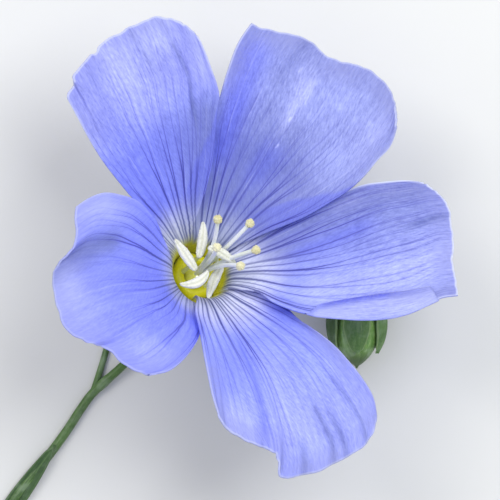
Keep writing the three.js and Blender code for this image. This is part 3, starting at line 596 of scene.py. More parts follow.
petalList = [
    {
        "name": "petalUpperRight", "node": "petal_upper_right", "claw": 25, "slopes": (36, 20),
        "waves": (0.22, 2.5, 0.4), "tuckEnd": 15, "bowlEnd": 3.2, "edgeFrom": 14.5,
        "veins": 10.0, "seed": 3.0, "veinWidth": 0.14, "veinFade": (12.0, 20.0),
        "veinFar": (8.0, 0.4), "veinStrength": 0.9, "edge": 0.45, "ridges": 0.3,
        "rimShade": 0.65, "grain": 1.75, "broad": 0.12, "ragged": 0.02,
        "ground": {"throat": (180, 187, 214), "middle": (123, 132, 198), "rim": (151, 159, 220),
                   "toMiddle": (5.0, 8.5), "toRim": (12.0, 18.0)},
        "deepShade": ((0.14, 0.045, 0.085, 8, 22, 0.62), (0.42, 0.42, 0.12, 8, 14, 0.35)),
        # among this petal's pale bands the three narrowest are painted glints, and the whitish
        # streak from 13 to 21 mm is a painted highlight
        "paleAndLit": ((0.41, 0.37, 0.02, 16, 20, 0.5), (0.8, 0.82, 0.09, 16, 23, 0.3),
                 (0.40, 0.31, 0.035, 13, 21, 0.55), (0.75, 0.8, 0.2, 7, 22, 0.15),
                 (0.3, 0.3, 0.006, 18.8, 19.5, 0.9), (0.39, 0.39, 0.006, 14.9, 15.7, 0.9),
                 (0.42, 0.42, 0.006, 12.6, 13.2, 0.9)),
        "greyShade": ((0.5, 0.5, 0.45, 6, 13, 0.35),),
        "folds": ((0.36, 0.27, 0.03, 13, 21, 0.1),),
        "over": ((3.3, 2.1), (5.4, 3.0), (7.6, 3.9), (9.6, 5.0), (11.6, 6.3), (12.8, 7.4),
                 (13.8, 8.6), (14.8, 9.7), (15.3, 11.2)),
        "rim": ((3.7, 19.6), (4.6, 19.2), (6.0, 18.9), (7.0, 18.7), (8.2, 18.3), (9.0, 17.7),
                (9.8, 17.0), (10.8, 16.6), (12.4, 16.2), (13.4, 15.7), (14.6, 14.6),
                (15.2, 13.5), (15.3, 11.2)),
        "under": ((-0.1, 4.9), (0.0, 6.2), (0.2, 8.2), (0.5, 10.4), (0.8, 12.2), (1.2, 13.7),
                  (1.7, 15.5), (2.4, 17.5), (2.8, 18.3), (3.7, 19.6)),
    },
    {
        "name": "petalUpperLeft", "node": "petal_upper_left", "claw": 95, "slopes": (36, 14),
        "waves": (0.25, 3, 1.9), "tuckEnd": 10, "bowlEnd": 4.0, "edgeFrom": 14.5,
        "veins": 10.0, "seed": 8.0, "veinWidth": 0.13, "veinFade": (13.0, 25.0),
        "veinFar": (8.0, 0.36), "veinStrength": 0.9, "edge": 0.5, "ridges": 0.25,
        "rimShade": 0.4, "grain": 1.6, "broad": 0.16, "ragged": 0.03,
        "ground": {"throat": (226, 229, 234), "middle": (137, 147, 241), "rim": (160, 166, 238),
                   "toMiddle": (5.8, 9.2), "toRim": (13.0, 20.0)},
        "deepShade": ((0.25, 0.2, 0.16, 6, 14, 0.2),),
        "paleAndLit": ((0.5, 0.42, 0.15, 13, 24, 0.3), (0.06, 0.04, 0.05, 14, 24, 0.15),
                 (0.62, 0.62, 0.09, 18, 26, 0.6), (0.4, 0.36, 0.05, 18, 26, 0.5),
                 (0.85, 0.9, 0.1, 15, 26, 0.5)),
        "greyShade": ((0.85, 0.9, 0.28, 4, 17, 0.8), (0.80, 0.58, 0.018, 12, 25, 0.7),
                 (0.55, 0.48, 0.014, 17, 25, 0.6)),
        "folds": ((0.80, 0.58, 0.022, 12, 25, -0.2), (0.55, 0.48, 0.018, 17, 25, -0.16),
                  (0.78, 0.72, 0.03, 12, 24, -0.1), (0.3, 0.25, 0.03, 14, 24, -0.1)),
        "over": ((-0.9, 3.4), (-0.5, 4.6), (-0.1, 5.8), (0.3, 7.2), (0.6, 8.6), (0.8, 10.2),
                 (0.95, 12.2), (1.15, 13.7), (0.95, 14.7), (0.55, 15.8), (0.15, 16.9),
                 (-0.4, 18.2)),
        "rim": ((-11.0, 13.5), (-10.9, 13.9), (-10.3, 14.6), (-10.5, 15.2), (-10.2, 15.8),
                (-9.8, 16.3), (-9.0, 17.0), (-8.5, 17.1), (-8.2, 17.7), (-7.8, 18.2),
                (-6.5, 19.0), (-5.0, 19.7), (-3.8, 20.1), (-2.6, 20.0), (-1.6, 19.4),
                (-1.0, 18.9), (-0.4, 18.2)),
        "under": ((-3.6, 3.4), (-4.6, 4.5), (-5.8, 5.6), (-6.4, 6.3), (-7.9, 8.2),
                  (-9.2, 10.2), (-10.4, 12.4), (-11.0, 13.5)),
    },
    {
        "name": "petalLeft", "node": "petal_left", "claw": 166, "clawRadius": 2.3,
        "slopes": (44, -22), "waves": (0.3, 2, 2.6), "tuckEnd": 7.8, "bowlEnd": 2.8,
        "edgeFrom": 8.5, "veins": 17.0, "seed": 12.0, "veinWidth": 0.12, "veinFade": (8.5, 16.0),
        "veinFar": (6.5, 0.4), "veinStrength": 0.8, "edge": 0.25, "ridges": 0.2,
        "rimShade": 0.4, "grain": 0.8, "broad": 0.4, "ragged": 0.03,
        "ground": {"throat": (226, 228, 246), "middle": (142, 152, 253), "rim": (158, 165, 251),
                   "toMiddle": (4.6, 7.8), "toRim": (12.0, 18.0)},
        "deepShade": (),
        "paleAndLit": ((0.3, 0.3, 0.2, 3.0, 5.2, 0.8), (0.96, 0.96, 0.07, 10, 17, 0.45),
                 (0.14, 0.16, 0.1, 10.5, 15, 0.3), (0.9, 0.92, 0.08, 9, 15, 0.2),
                 (0.58, 0.55, 0.07, 14, 20, 0.5)),
        "greyShade": ((0.79, 0.59, 0.11, 9, 21, 1.0), (0.9, 0.98, 0.06, 13, 20, 0.4)),
        "folds": ((0.79, 0.62, 0.085, 8, 21, -0.28), (0.62, 0.66, 0.04, 9, 19, 0.12),
                  (0.3, 0.28, 0.04, 11, 19, -0.12)),
        "over": ((-3.8, 3.5), (-4.4, 4.4), (-5.4, 5.35), (-6.6, 5.8), (-8.0, 6.0),
                 (-9.2, 5.6), (-10.2, 4.9)),
        "rim": ((-4.2, -8.5), (-5.6, -8.2), (-6.8, -7.3), (-7.8, -6.4), (-9.6, -5.9),
                (-10.8, -5.1), (-11.5, -4.0), (-11.6, -3.4), (-12.0, -1.9), (-12.1, -1.0),
                (-11.8, 0.1), (-11.0, 1.0), (-10.4, 2.0), (-10.3, 3.2), (-10.3, 4.2),
                (-10.2, 4.9)),
        "under": ((-1.0, -3.7), (-0.35, -4.7), (-0.5, -5.5), (-1.05, -6.5), (-1.85, -7.45),
                  (-2.9, -8.2), (-4.2, -8.5)),
    },
    {
        "name": "petalLower", "node": "petal_lower", "claw": 237, "slopes": (34, 6),
        "waves": (0.25, 2.5, 0.9), "tuckEnd": 10.6, "bowlEnd": 3.2, "edgeFrom": 8.5,
        "veins": 14.0, "early": 5.0, "seed": 21.0, "veinWidth": 0.135,
        "veinFade": (13.0, 25.0), "veinFar": (9.5, 0.45), "veinStrength": 0.94, "edge": 0.35,
        "ridges": 0.3, "rimShade": 0.6, "grain": 1.5, "broad": 0.12, "ragged": 0.03,
        "ground": {"throat": (229, 230, 251), "middle": (155, 166, 252), "rim": (165, 173, 246),
                   "toMiddle": (6.0, 10.0), "toRim": (13.0, 20.0)},
        "deepShade": ((0.54, 0.66, 0.045, 7.5, 20, 0.42), (0.72, 0.8, 0.1, 8, 16, 0.15)),
        "paleAndLit": ((0.35, 0.42, 0.12, 9, 21, 0.25), (0.76, 0.8, 0.08, 14, 22, 0.45)),
        "greyShade": ((0.17, 0.15, 0.01, 13, 25, 0.7), (0.287, 0.24, 0.01, 14.5, 25, 0.9),
                 (0.25, 0.207, 0.009, 16, 25, 0.8), (0.36, 0.31, 0.012, 17.5, 25, 0.8),
                 (0.0, 0.0, 0.05, 8, 16, 0.4)),
        "folds": ((0.54, 0.66, 0.03, 8, 21, -0.14), (0.17, 0.15, 0.02, 13, 25, -0.1),
                  (0.287, 0.24, 0.016, 15, 25, -0.13), (0.36, 0.31, 0.016, 17.5, 25, -0.13)),
        "over": ((-0.75, -3.3), (-0.6, -4.1), (-0.35, -5.2), (-0.1, -6.6), (0.25, -8.5),
                 (0.55, -10.0), (0.9, -11.2)),
        "rim": ((13.7, -11.8), (13.6, -12.6), (13.3, -13.4), (12.7, -14.2), (12.0, -14.7),
                (10.6, -15.5), (9.4, -16.0), (7.8, -16.3), (6.8, -16.5), (6.2, -16.4),
                (5.8, -15.5), (5.4, -14.6), (4.0, -14.0), (2.4, -13.1), (1.3, -12.1),
                (0.9, -11.2)),
        "under": ((3.9, -2.7), (5.6, -3.2), (7.0, -3.9), (8.8, -5.0), (10.2, -6.1),
                  (11.5, -7.5), (12.6, -8.9), (13.4, -10.3), (13.7, -11.8)),
    },
    {
        "name": "petalRight", "node": "petal_right", "claw": 304, "slopes": (38, 20),
        "waves": (0.15, 2, 3.4), "tuckEnd": 14.5, "fold": 0.5, "bowlEnd": 2.9,
        "edgeFrom": 10.5, "veins": 11.0, "seed": 30.0, "veinWidth": 0.13,
        "veinFade": (15.0, 26.0), "veinFar": (9.5, 0.5), "veinStrength": 0.88, "edge": 0.8,
        "ridges": 0.4, "rimShade": 0.6, "grain": 1.7, "broad": 0.18, "ragged": 0.015,
        "ground": {"throat": (229, 232, 250), "middle": (160, 170, 244), "rim": (156, 164, 230),
                   "toMiddle": (6.5, 10.5), "toRim": (14.0, 20.0)},
        # the first grey band paints the upper half darker as painted shade, and the pale band
        # paints the lower half lighter as painted light
        "deepShade": ((0.37, 0.33, 0.07, 7, 17, 0.4),),
        "paleAndLit": ((0.72, 0.72, 0.17, 8, 24, 0.5),),
        "greyShade": ((0.15, 0.2, 0.26, 4.5, 22, 0.85), (0.44, 0.47, 0.03, 17, 23, 0.7)),
        "folds": ((0.45, 0.5, 0.05, 8, 22, -0.16), (0.44, 0.47, 0.025, 17, 23, -0.16)),
        "over": ((4.1, -1.9), (5.4, -2.7), (6.8, -3.3), (8.8, -3.8), (10.8, -4.0),
                 (12.8, -4.1), (14.8, -3.95), (16.2, -3.6), (17.8, -2.9), (18.9, -2.4),
                 (20.2, -2.2)),
        "rim": ((17.2, 6.9), (18.0, 6.5), (19.0, 5.6), (19.6, 4.6), (19.7, 3.7),
                (19.9, 1.8), (19.8, 0.6), (20.0, -0.6), (20.2, -2.2)),
        "under": ((4.0, 1.9), (5.4, 3.0), (7.6, 4.4), (9.6, 5.4), (11.6, 6.3), (12.8, 6.7),
                  (14.4, 6.9), (16.0, 7.0), (17.2, 6.9)),
    },
]

# The right petal's lower margin is folded over: the free edge of the flap in plan, and the
# stretch of the margin that it is folded along
petalFlap = {
    "edge": ((7.9, -3.55), (9.0, -3.15), (10.8, -2.72), (13.2, -2.3), (15.8, -1.95),
             (18.0, -1.55)),
    "from": 7.84, "to": 18.9, "columns": 22, "base": 0.93, "openingRows": 7,
    "turn": 0.3, "rest": 0.26, "bulge": 0.2, "rise": 0.1, "backed": 0.55,
    "uvWidth": 0.36, "wide": 12.0, "light": 0.6, "deepShade": 0.95,
}


def petalSection(petal):
    # the petal's middle line: way from the foot, radius, height and slope at every step
    form = petalForm
    s = np.arange(0, form["sectionLength"], form["sectionStep"])
    past = np.maximum(0, (s - form["clawLength"] - form["bend"]) / form["blade"])
    bent = smooth((s - form["clawLength"]) / form["bend"])
    slope = np.radians(mix(form["clawSlope"], mix(*petal["slopes"], past), bent))
    radius = running(form["sectionStep"] * np.cos(slope[1:]))
    height = running(form["sectionStep"] * np.sin(slope[1:]))
    clawRadius = petal.get("clawRadius", form["clawRadius"])
    return s, clawRadius + radius, form["clawFoot"] + height, slope


def petalLift(petal, across, s):
    # how far the surface stands off its section
    form = petalForm
    u = 2 * across - 1
    opening = smooth((s - form["clawLength"]) / (form["bend"] + 1))
    outward = np.clip((s - form["clawLength"] - form["bend"]) / form["blade"], 0, 1)
    amount, count, phase = petal["waves"]
    wave = amount * outward ** 2 * np.sin(count * math.pi * u + phase)
    margin = smooth((u - 1 + form["foldMargin"]) / form["foldMargin"])
    folded = petal.get("fold", 0) * margin * smooth(outward / form["foldStart"])
    return form["overlapLift"] * u * opening + wave + folded


def petalPoints(petal, section, azimuth, s, across, extra=0.0):
    stations, *profile = section
    radius, height, slope = [np.interp(np.maximum(0, s), stations, line) for line in profile]
    lift = petalLift(petal, across, s) + extra
    return inPlace(flower, radius - lift * np.sin(slope), azimuth, height + lift * np.cos(slope))


def onPetal(petal, section, plan, across):
    # azimuth (as a length) and distance of the petal's surface over plan points
    plan = np.asarray(plan, float)
    across = np.broadcast_to(across, len(plan))
    azimuth = np.arctan2(plan[:, 1], plan[:, 0]) - heading
    fullTurns = np.round((math.radians(petal["claw"]) - azimuth) / (2 * math.pi))
    azimuth = azimuth + 2 * math.pi * fullTurns
    s = petalForm["clawLength"] + np.hypot(plan[:, 0], plan[:, 1])
    nudge = 1e-3
    for _ in range(40):
        here = petalPoints(petal, section, azimuth, s, across)[:, :2]
        turned = (petalPoints(petal, section, azimuth + nudge, s, across)[:, :2] - here) / nudge
        farther = (petalPoints(petal, section, azimuth, s + nudge, across)[:, :2] - here) / nudge
        missing = throat[:2] + plan - here
        det = turned[:, 0] * farther[:, 1] - turned[:, 1] * farther[:, 0]
        turn = (missing[:, 0] * farther[:, 1] - missing[:, 1] * farther[:, 0]) / det
        advance = (turned[:, 0] * missing[:, 1] - turned[:, 1] * missing[:, 0]) / det
        azimuth = azimuth + np.clip(turn, -0.2, 0.2)
        s = s + np.clip(advance, -1.5, 1.5)
    return np.stack([azimuth * petalForm["azimuthRadius"], s], axis=-1)


def petalEdge(petal, section, points, across):
    form = petalForm
    claw = math.radians(petal["claw"]) + (1 - 2 * across) * math.radians(form["clawHalfAngle"])
    straight = [(claw * form["azimuthRadius"], t * form["clawLength"]) for t in (0, 0.5, 1)]
    return smoothPath(np.vstack([straight, onPetal(petal, section, points, across)]))


def petalGrid(petal, section):
    # for every grid point: its azimuth with one margin tucked under the neighbour, its way from
    # the foot, its shares across and along, and its azimuth before the tuck
    form, tuck = petalForm, petalForm["tuck"]
    under = petalEdge(petal, section, petal["under"], 0)
    over = petalEdge(petal, section, petal["over"], 1)
    rimShares = np.linspace(0, 1, len(petal["rim"]))
    rim = smoothPath(onPetal(petal, section, petal["rim"], rimShares))
    u = np.linspace(0, 1, form["columns"] + 1)
    v = np.linspace(0, 1, form["rows"] + 1) ** form["rowCrowding"]
    left, right = alongPath(under, v)[:, None, :], alongPath(over, v)[:, None, :]
    top = alongPath(rim, u)[None, :, :]
    bottom = mix(under[0], over[0], u[:, None])[None, :, :]
    across, outward = u[None, :, None], v[:, None, None]
    flat = (mix(left, right, across) + mix(bottom, top, outward)
            - mix(mix(under[0], over[0], across), mix(rim[0], rim[-1], across), outward))
    azimuth = flat[..., 0] / form["azimuthRadius"]
    shares, v = np.broadcast_arrays(u[None, :], v[:, None])
    ragged = sum(np.sin(teeth * shares + k * petal["seed"])
                 for k, teeth in enumerate(form["teeth"], 1))
    s = flat[..., 1] + petal["ragged"] * ragged * smooth(
        (v - form["teethFrom"]) / (1 - form["teethFrom"]))
    margin = smooth((tuck["share"] - shares) / tuck["share"])
    turn = tuck["turn"] * (1 - smooth((s - tuck["from"]) / (petal["tuckEnd"] - tuck["from"])))
    return azimuth + np.radians(turn) * margin, s, shares, v, azimuth


def lookUp(values, places, shares):
    # shares at given places, carried on in a straight line past both ends
    found = np.interp(values, places, shares)
    for last, inner in ((0, 1), (-1, -2)):
        rate = (shares[last] - shares[inner]) / (places[last] - places[inner])
        past = (values - places[last]) * (places[last] - places[inner]) > 0
        found[past] = (shares[last] + rate * (values - places[last]))[past]
    return found


def evenShares(petal, section, azimuth, s, across, spread):
    # how far across a petal each point lies, by length, on the petal with its margin spread out;
    # veins run straight out from the bowl up to one row, and from there along the grid
    flat = petalPoints(petal, section, spread, s, across)
    steps = np.linalg.norm(np.diff(flat, axis=1), axis=2)
    reach, ease = s.mean(axis=1), petalForm["fanEase"]
    late = np.clip((reach - petalForm["fanFrom"]) / ease, -1, 1)
    guide = petalForm["fanFrom"] + ease * (late + 1) ** 2 / 4
    shares, wide = np.empty(s.shape), np.empty(s.shape)
    for j in range(len(steps)):
        k = max(j, int(np.argmax(reach >= guide[j])))
        order = np.argsort(spread[k])
        places, row = spread[k][order], running(steps[k])[order] / steps[k].sum()
        shares[j] = lookUp(azimuth[j], places, row)
        ends = lookUp(spread[j, [0, -1]], places, row)
        wide[j] = steps[j].sum() / abs(ends[1] - ends[0])
    return shares, wide


def alongBands(bands, across, s):
    total = np.zeros(s.shape)
    for first, last, width, start, end, amount in bands:
        centre = mix(first, last, np.clip((s - start) / (end - start), 0, 1))
        ease = min(3, 0.4 * (end - start))
        stretch = smooth((s - start) / ease) * smooth((end - s) / ease)
        total = total + amount * bell(across, centre, width) * stretch
    return total


def pleats(petal, across, s, v):
    # shallow ribs between the veins, and ruffles that grow toward the rim
    form, tuck, seed = petalForm, petalForm["tuck"], petal["seed"]
    ribs = (form["rib"] * smooth((s - form["ribFrom"]) / form["ribEase"])
            * np.cos(2 * math.pi * petal["veins"] * across + 1.2 * np.sin(3 * v + seed)))
    ruffle = sum(height * np.sin(count * math.pi * across + shift * seed)
                 for count, height, shift in form["ruffles"])
    ruffle = ruffle * smooth((v - form["ruffleFrom"]) / (1 - form["ruffleFrom"])) ** 2
    margin = smooth((tuck["share"] - across) / tuck["share"])
    sunk = -tuck["sink"] * margin * (1 - smooth((s - tuck["sinkFrom"]) / tuck["sinkFrom"]))
    return ribs + ruffle + sunk + alongBands(petal["folds"], across, s)


def edgeDistance(grid):
    border = np.vstack([grid[:, 0], grid[:, -1], grid[-1, :]])
    flat = grid.reshape(-1, 3)
    nearest = np.full(len(flat), 9.0)
    for start in range(0, len(border), 40):
        away = np.linalg.norm(flat[:, None] - border[None, start:start + 40], axis=2)
        nearest = np.minimum(nearest, away.min(1))
    return nearest


def flapPoints(petal, section, grid):
    # the folded margin: from the petal's edge it turns over and lies back above the petal
    shape = petalFlap
    margin = grid[:, -1, 0] - throat[0]
    rows = np.flatnonzero((shape["from"] <= margin) & (margin <= shape["to"]))
    free = curveAt(shape["edge"], np.linspace(0, 1, len(rows)))
    azimuth, s = onPetal(petal, section, free, shape["base"]).T
    above = petalPoints(petal, section, azimuth / petalForm["azimuthRadius"], s, shape["base"],
                        shape["rest"])
    t = np.linspace(0, 1, shape["columns"] + 1)[:, None]
    folded = []
    for k, j in enumerate(rows):
        start = grid[j, -1]
        outward = unit(start - grid[j, -3])
        up = unit(np.cross(outward, grid[min(j + 1, len(grid) - 1), -1] - grid[j - 1, -1]))
        up = up if up[2] > 0 else -up
        end = mix(start, above[k], smooth(k / shape["openingRows"]))
        across = np.linalg.norm(end - start)
        turn = min(shape["turn"], 0.5 * across)
        bulge = shape["bulge"] * smooth(across / 0.8)
        leave = start + outward * turn + up * shape["rise"] * turn
        arrive = end + (start - end) * shape["backed"] + up * bulge
        folded.append((1 - t) ** 3 * start + 3 * (1 - t) ** 2 * t * leave
                      + 3 * (1 - t) * t ** 2 * arrive + t ** 3 * end)
    return rows, np.array(folded)


def flapSheet(flap, s):
    # what the folded margin adds to its petal: a dark crease of painted shade and a pale back
    look = petalFlap
    turn = np.linspace(0, 1, flap.shape[1])
    free = np.linalg.norm(flap - flap[:, -1:], axis=2)
    outward = flap[..., 0] - throat[0]
    crease = ((1 - smooth((free - 0.1) / 0.6)) * smooth((outward - 8.6) / 1.5)
              * smooth((18.6 - outward) / 5))
    light = smooth((free - 0.3) / 0.5) * (1 - smooth((free - 1.1) / 1.6))
    uv = stacked(1 + look["uvWidth"] * turn, s[:, None] / petalForm["uvLength"])
    tints = stacked(0.0, look["light"] * light, look["deepShade"] * crease)
    return {"points": flap.reshape(-1, 3), "uv": uv.reshape(-1, 2),
            "toEdge": 0.12 + free.ravel(), "tints": tints.reshape(-1, 3),
            "wide": np.full(free.size, look["wide"])}


def makePetal(petal):
    section = petalSection(petal)
    azimuth, s, across, v, spread = petalGrid(petal, section)
    grid = petalPoints(petal, section, azimuth, s, across, pleats(petal, across, s, v))
    shares, wide = evenShares(petal, section, azimuth, s, across, spread)
    tints = stacked(*[alongBands(petal[tint], across, s) for tint in ("greyShade", "paleAndLit", "deepShade")])
    sheet = {"points": grid.reshape(-1, 3),
             "uv": stacked(shares, s / petalForm["uvLength"]).reshape(-1, 2),
             "toEdge": edgeDistance(grid), "tints": tints.reshape(-1, 3), "wide": wide.ravel()}
    faces = sheetFaces(*s.shape)
    if petal["name"] == "petalRight":
        sheet["toEdge"][across.ravel() > 0.999] = 1.0
        rows, flap = flapPoints(petal, section, grid)
        faces += sheetFaces(*flap.shape[:2], start=len(sheet["points"]))
        folded = flapSheet(flap, s[rows, -1])
        sheet = {key: np.concatenate([sheet[key], folded[key]]) for key in sheet}
    obj = makeObject(petal["name"], sheet.pop("points"), faces, sheet.pop("uv"), sheet)
    mergeDoubles(obj)
    return obj


def markOverlaps(sheets):
    # painted shade: a petal is tinted deeper blue where another one lies close above or below it,
    # where less light comes through the two layers
    reach = 1.6 * mm
    overlapShade = 0.4
    meshes = {obj.name: obj.data for obj in sheets}
    trees = {
        name: BVHTree.FromPolygons([v.co for v in mesh.vertices],
                                   [tuple(p.vertices) for p in mesh.polygons])
        for name, mesh in meshes.items()}
    for own, mesh in meshes.items():
        others = [tree for name, tree in trees.items() if name != own]
        covered = np.array([
            float(any(tree.ray_cast(v.co, way, reach)[0] is not None
                      for tree in others for way in (v.normal, -v.normal)))
            for v in mesh.vertices])
        edges = np.array([tuple(e.vertices) for e in mesh.edges])
        for _ in range(3):
            total, count = covered.copy(), np.ones(len(covered))
            for a, b in ((0, 1), (1, 0)):
                np.add.at(total, edges[:, a], covered[edges[:, b]])
                np.add.at(count, edges[:, a], 1)
            covered = total / count
        place = np.zeros((len(covered), 3), np.float32)
        mesh.vertices.foreach_get("co", place.reshape(-1))
        away = np.linalg.norm(np.cross(place / mm - throat, flowerAxis), axis=1)
        tints = np.zeros(3 * len(covered), np.float32)
        mesh.attributes["tints"].data.foreach_get("vector", tints)
        tints = tints.reshape(-1, 3)
        covered = covered * smooth((away - 4) / 3)
        tints[:, 2] = mix(tints[:, 2], np.maximum(tints[:, 2], overlapShade), covered)
        mesh.attributes["tints"].data.foreach_set("vector", tints.ravel())


petalObjects = [makePetal(petal) for petal in petalList]
markOverlaps(petalObjects)
for petal, obj in zip(petalList, petalObjects):
    obj.data.materials.append(petalMaterial(petal["name"] + "Upper", petal, True))
    obj.data.materials.append(petalMaterial(petal["name"] + "Under", petal, False))
    thicken(obj, petalForm["thickness"])
    placePiece(obj, petal["node"])
print("petals made")

# Geometry Nodes: a thread swept along a line of points, and grains strewn over a surface

def namedValue(tree, name, kind="FLOAT"):
    return valueOf(tree, "GeometryNodeInputNamedAttribute", {"Name": name}, "Attribute",
                   data_type=kind)


def storeValue(geometry, name, value, kind="FLOAT"):
    return valueOf(geometry.tree, "GeometryNodeStoreNamedAttribute", {
        "Geometry": geometry, "Name": name, "Value": value}, data_type=kind, domain="POINT")


def endTree(result, geometry, material):
    tree = geometry.tree
    geometry = valueOf(tree, "GeometryNodeRealizeInstances", {"Geometry": geometry})
    geometry = valueOf(tree, "GeometryNodeSetShadeSmooth", {"Geometry": geometry})
    geometry = valueOf(tree, "GeometryNodeSetMaterial", {
        "Geometry": geometry, "Material": material})
    feed(result["Geometry"], geometry)
    return tree


def threadTree():
    # a line whose points carry a girth becomes a round thread with fine ridges along it
    tree, given, result = newTree("GeometryNodeTree", "thread", {
        "Geometry": "Geometry", "Sides": 12, "Ridges": 5, "Ridge depth": 0.0,
        "Material": "Material"}, {"Geometry": "Geometry"})
    line = valueOf(tree, "GeometryNodeMeshToCurve", {"Mesh": given["Geometry"]})
    run = valueOf(tree, "GeometryNodeSplineParameter", output="Length") / mm
    line = storeValue(line, "run", run)
    circle = valueOf(tree, "GeometryNodeCurvePrimitiveCircle", {
        "Resolution": given["Sides"], "Radius": 1})
    profile = storeValue(circle, "turn", valueOf(tree, "GeometryNodeInputPosition"),
                         "FLOAT_VECTOR")
    share = valueOf(tree, "GeometryNodeSplineParameter", output="Factor")
    profile = storeValue(profile, "around", share)
    sweep = valueOf(tree, "GeometryNodeCurveToMesh", {
        "Curve": line, "Profile Curve": profile, "Scale": namedValue(tree, "girth"),
        "Fill Caps": True})
    wave = calc("COSINE", namedValue(tree, "around") * (2 * math.pi) * given["Ridges"])
    rise = valueOf(tree, "ShaderNodeVectorMath", {
        0: valueOf(tree, "GeometryNodeInputNormal"), "Scale": wave * given["Ridge depth"],
    }, operation="SCALE")
    ridged = valueOf(tree, "GeometryNodeSetPosition", {"Geometry": sweep, "Offset": rise})
    skin = valueOf(tree, "ShaderNodeVectorMath", {
        0: namedValue(tree, "turn", "FLOAT_VECTOR"),
        1: combine(0.0, 0.0, namedValue(tree, "run")),
    }, operation="ADD")
    return endTree(result, storeValue(ridged, "skin", skin, "FLOAT_VECTOR"), given["Material"])


def grainTree():
    # round grains strewn where the surface's "dusty" value is high: pollen, or stigma knobs
    tree, given, result = newTree("GeometryNodeTree", "grains", {
        "Geometry": "Geometry", "Grain size": 0.03 * mm, "Density": 1e7, "Seed": 1,
        "Material": "Material"}, {"Geometry": "Geometry"})
    spread = newNode(tree, "GeometryNodeDistributePointsOnFaces", {
        "Mesh": given["Geometry"], "Density": namedValue(tree, "dusty") * given["Density"],
        "Seed": given["Seed"]}, distribute_method="RANDOM")
    grain = valueOf(tree, "GeometryNodeMeshIcoSphere", {
        "Radius": given["Grain size"], "Subdivisions": 2})
    smallest, largest = 0.55, 1.25
    size = valueOf(tree, "FunctionNodeRandomValue", {
        2: smallest, 3: largest, "Seed": given["Seed"]}, output=1, data_type="FLOAT")
    placed = valueOf(tree, "GeometryNodeInstanceOnPoints", {
        "Points": Value(spread.outputs["Points"]), "Instance": grain,
        "Rotation": Value(spread.outputs["Rotation"]), "Scale": size})
    return endTree(result, placed, given["Material"])


def growTree(obj, tree, values):
    modifier = obj.modifiers.new(tree.name, "NODES")
    modifier.node_group = tree
    for item in tree.interface.items_tree:
        if item.in_out == "INPUT" and item.name in values:
            modifier[item.identifier] = values[item.name]
    return bake(obj)


thread = threadTree()
grains = grainTree()


def makeThread(name, points, girths, material, sides=12, ridges=5, depth=0.0):
    girths = np.broadcast_to(girths, len(points)) * mm
    edges = [(k, k + 1) for k in range(len(points) - 1)]
    line = makeObject(name, points, [], values={"girth": girths}, edges=edges)
    return faceOut(growTree(line, thread, {
        "Sides": sides, "Ridges": ridges, "Ridge depth": depth * mm, "Material": material}))


def strewGrains(name, base, size, density, seed, material):
    copy = bpy.data.objects.new(name, base.data.copy())
    bpy.context.scene.collection.objects.link(copy)
    return growTree(copy, grains, {"Grain size": size * mm, "Density": density / mm ** 2,
                                   "Seed": seed, "Material": material})


def turned(name, profile, place, material, sides=60, rows=44, lobes=None, closed=False,
           darkFrom=1.0):
    # a shape turned round an axis, from points of radius and height, with optional lobes
    path = curveAt(profile, np.linspace(0, 1, rows), 10)
    path = path[:-1] if closed else path
    count = len(path)
    radius, height = np.maximum(path[:, :1], 0.01), path[:, 1:]
    azimuth = np.linspace(0, 2 * math.pi, sides, endpoint=False)[None, :]
    t = np.linspace(0, 1, count)[:, None]
    swell = lobes(azimuth, t) if lobes else 1
    rings = inPlace(place, radius * swell, azimuth, height)
    if closed:
        points, faces = rings.reshape(-1, 3), ringFaces(count, sides, around=True)
    else:
        points, faces = closedRings(rings)
    skin = stacked(np.cos(azimuth), np.sin(azimuth), height).reshape(-1, 3)
    skin = np.vstack([skin, np.zeros((len(points) - len(skin), 3)) + skin[-1]])
    # painted shade from darkFrom of the way on to the end
    shaded = np.broadcast_to(smooth((t - darkFrom) / 0.25), (count, sides)).ravel()
    shaded = np.concatenate([shaded, np.full(len(points) - len(shaded), shaded[-1])])
    obj = makeObject(name, points, faces, values={"skin": skin, "shaded": shaded})
    obj.data.materials.append(material)
    return faceOut(obj)


# Green tissue: waxy, with fine fibres along it, pale ribs and a pale thin margin, and painted
# shade in the dark colour where a piece is marked shaded

greenFinish = {
    "stem": {"base": (68, 100, 46), "shade": (46, 76, 30), "dark": (40, 62, 30),
             "light": (112, 144, 84), "rib": (104, 136, 76), "margin": (100, 128, 74),
             "fibres": (3.5, 3.5, 0.5), "bloom": 0.2, "roughness": 0.42, "relief": 0.03,
             "through": 0.0},
    "leaf": {"base": (60, 94, 48), "shade": (42, 72, 36), "dark": (36, 60, 32),
             "light": (98, 130, 82), "rib": (96, 128, 76), "margin": (88, 118, 72),
             "fibres": (9.0, 3.0, 0.4), "bloom": 0.15, "roughness": 0.48, "relief": 0.03,
             "through": 0.22},
    "sepal": {"base": (108, 148, 82), "shade": (76, 116, 56), "dark": (38, 66, 34),
              "light": (142, 176, 108), "rib": (88, 128, 64), "margin": (150, 178, 116),
              "fibres": (8.0, 3.0, 0.4), "bloom": 0.2, "roughness": 0.46, "relief": 0.03,
              "through": 0.2},
    "capsule": {"base": (122, 164, 84), "shade": (88, 132, 60), "dark": (52, 72, 38),
                "light": (164, 196, 122), "rib": (98, 138, 64), "margin": (190, 196, 130),
                "fibres": (4.0, 4.0, 0.7), "bloom": 0.35, "roughness": 0.36, "relief": 0.02,
                "through": 0.0},
}

waxColour = (176, 194, 170)


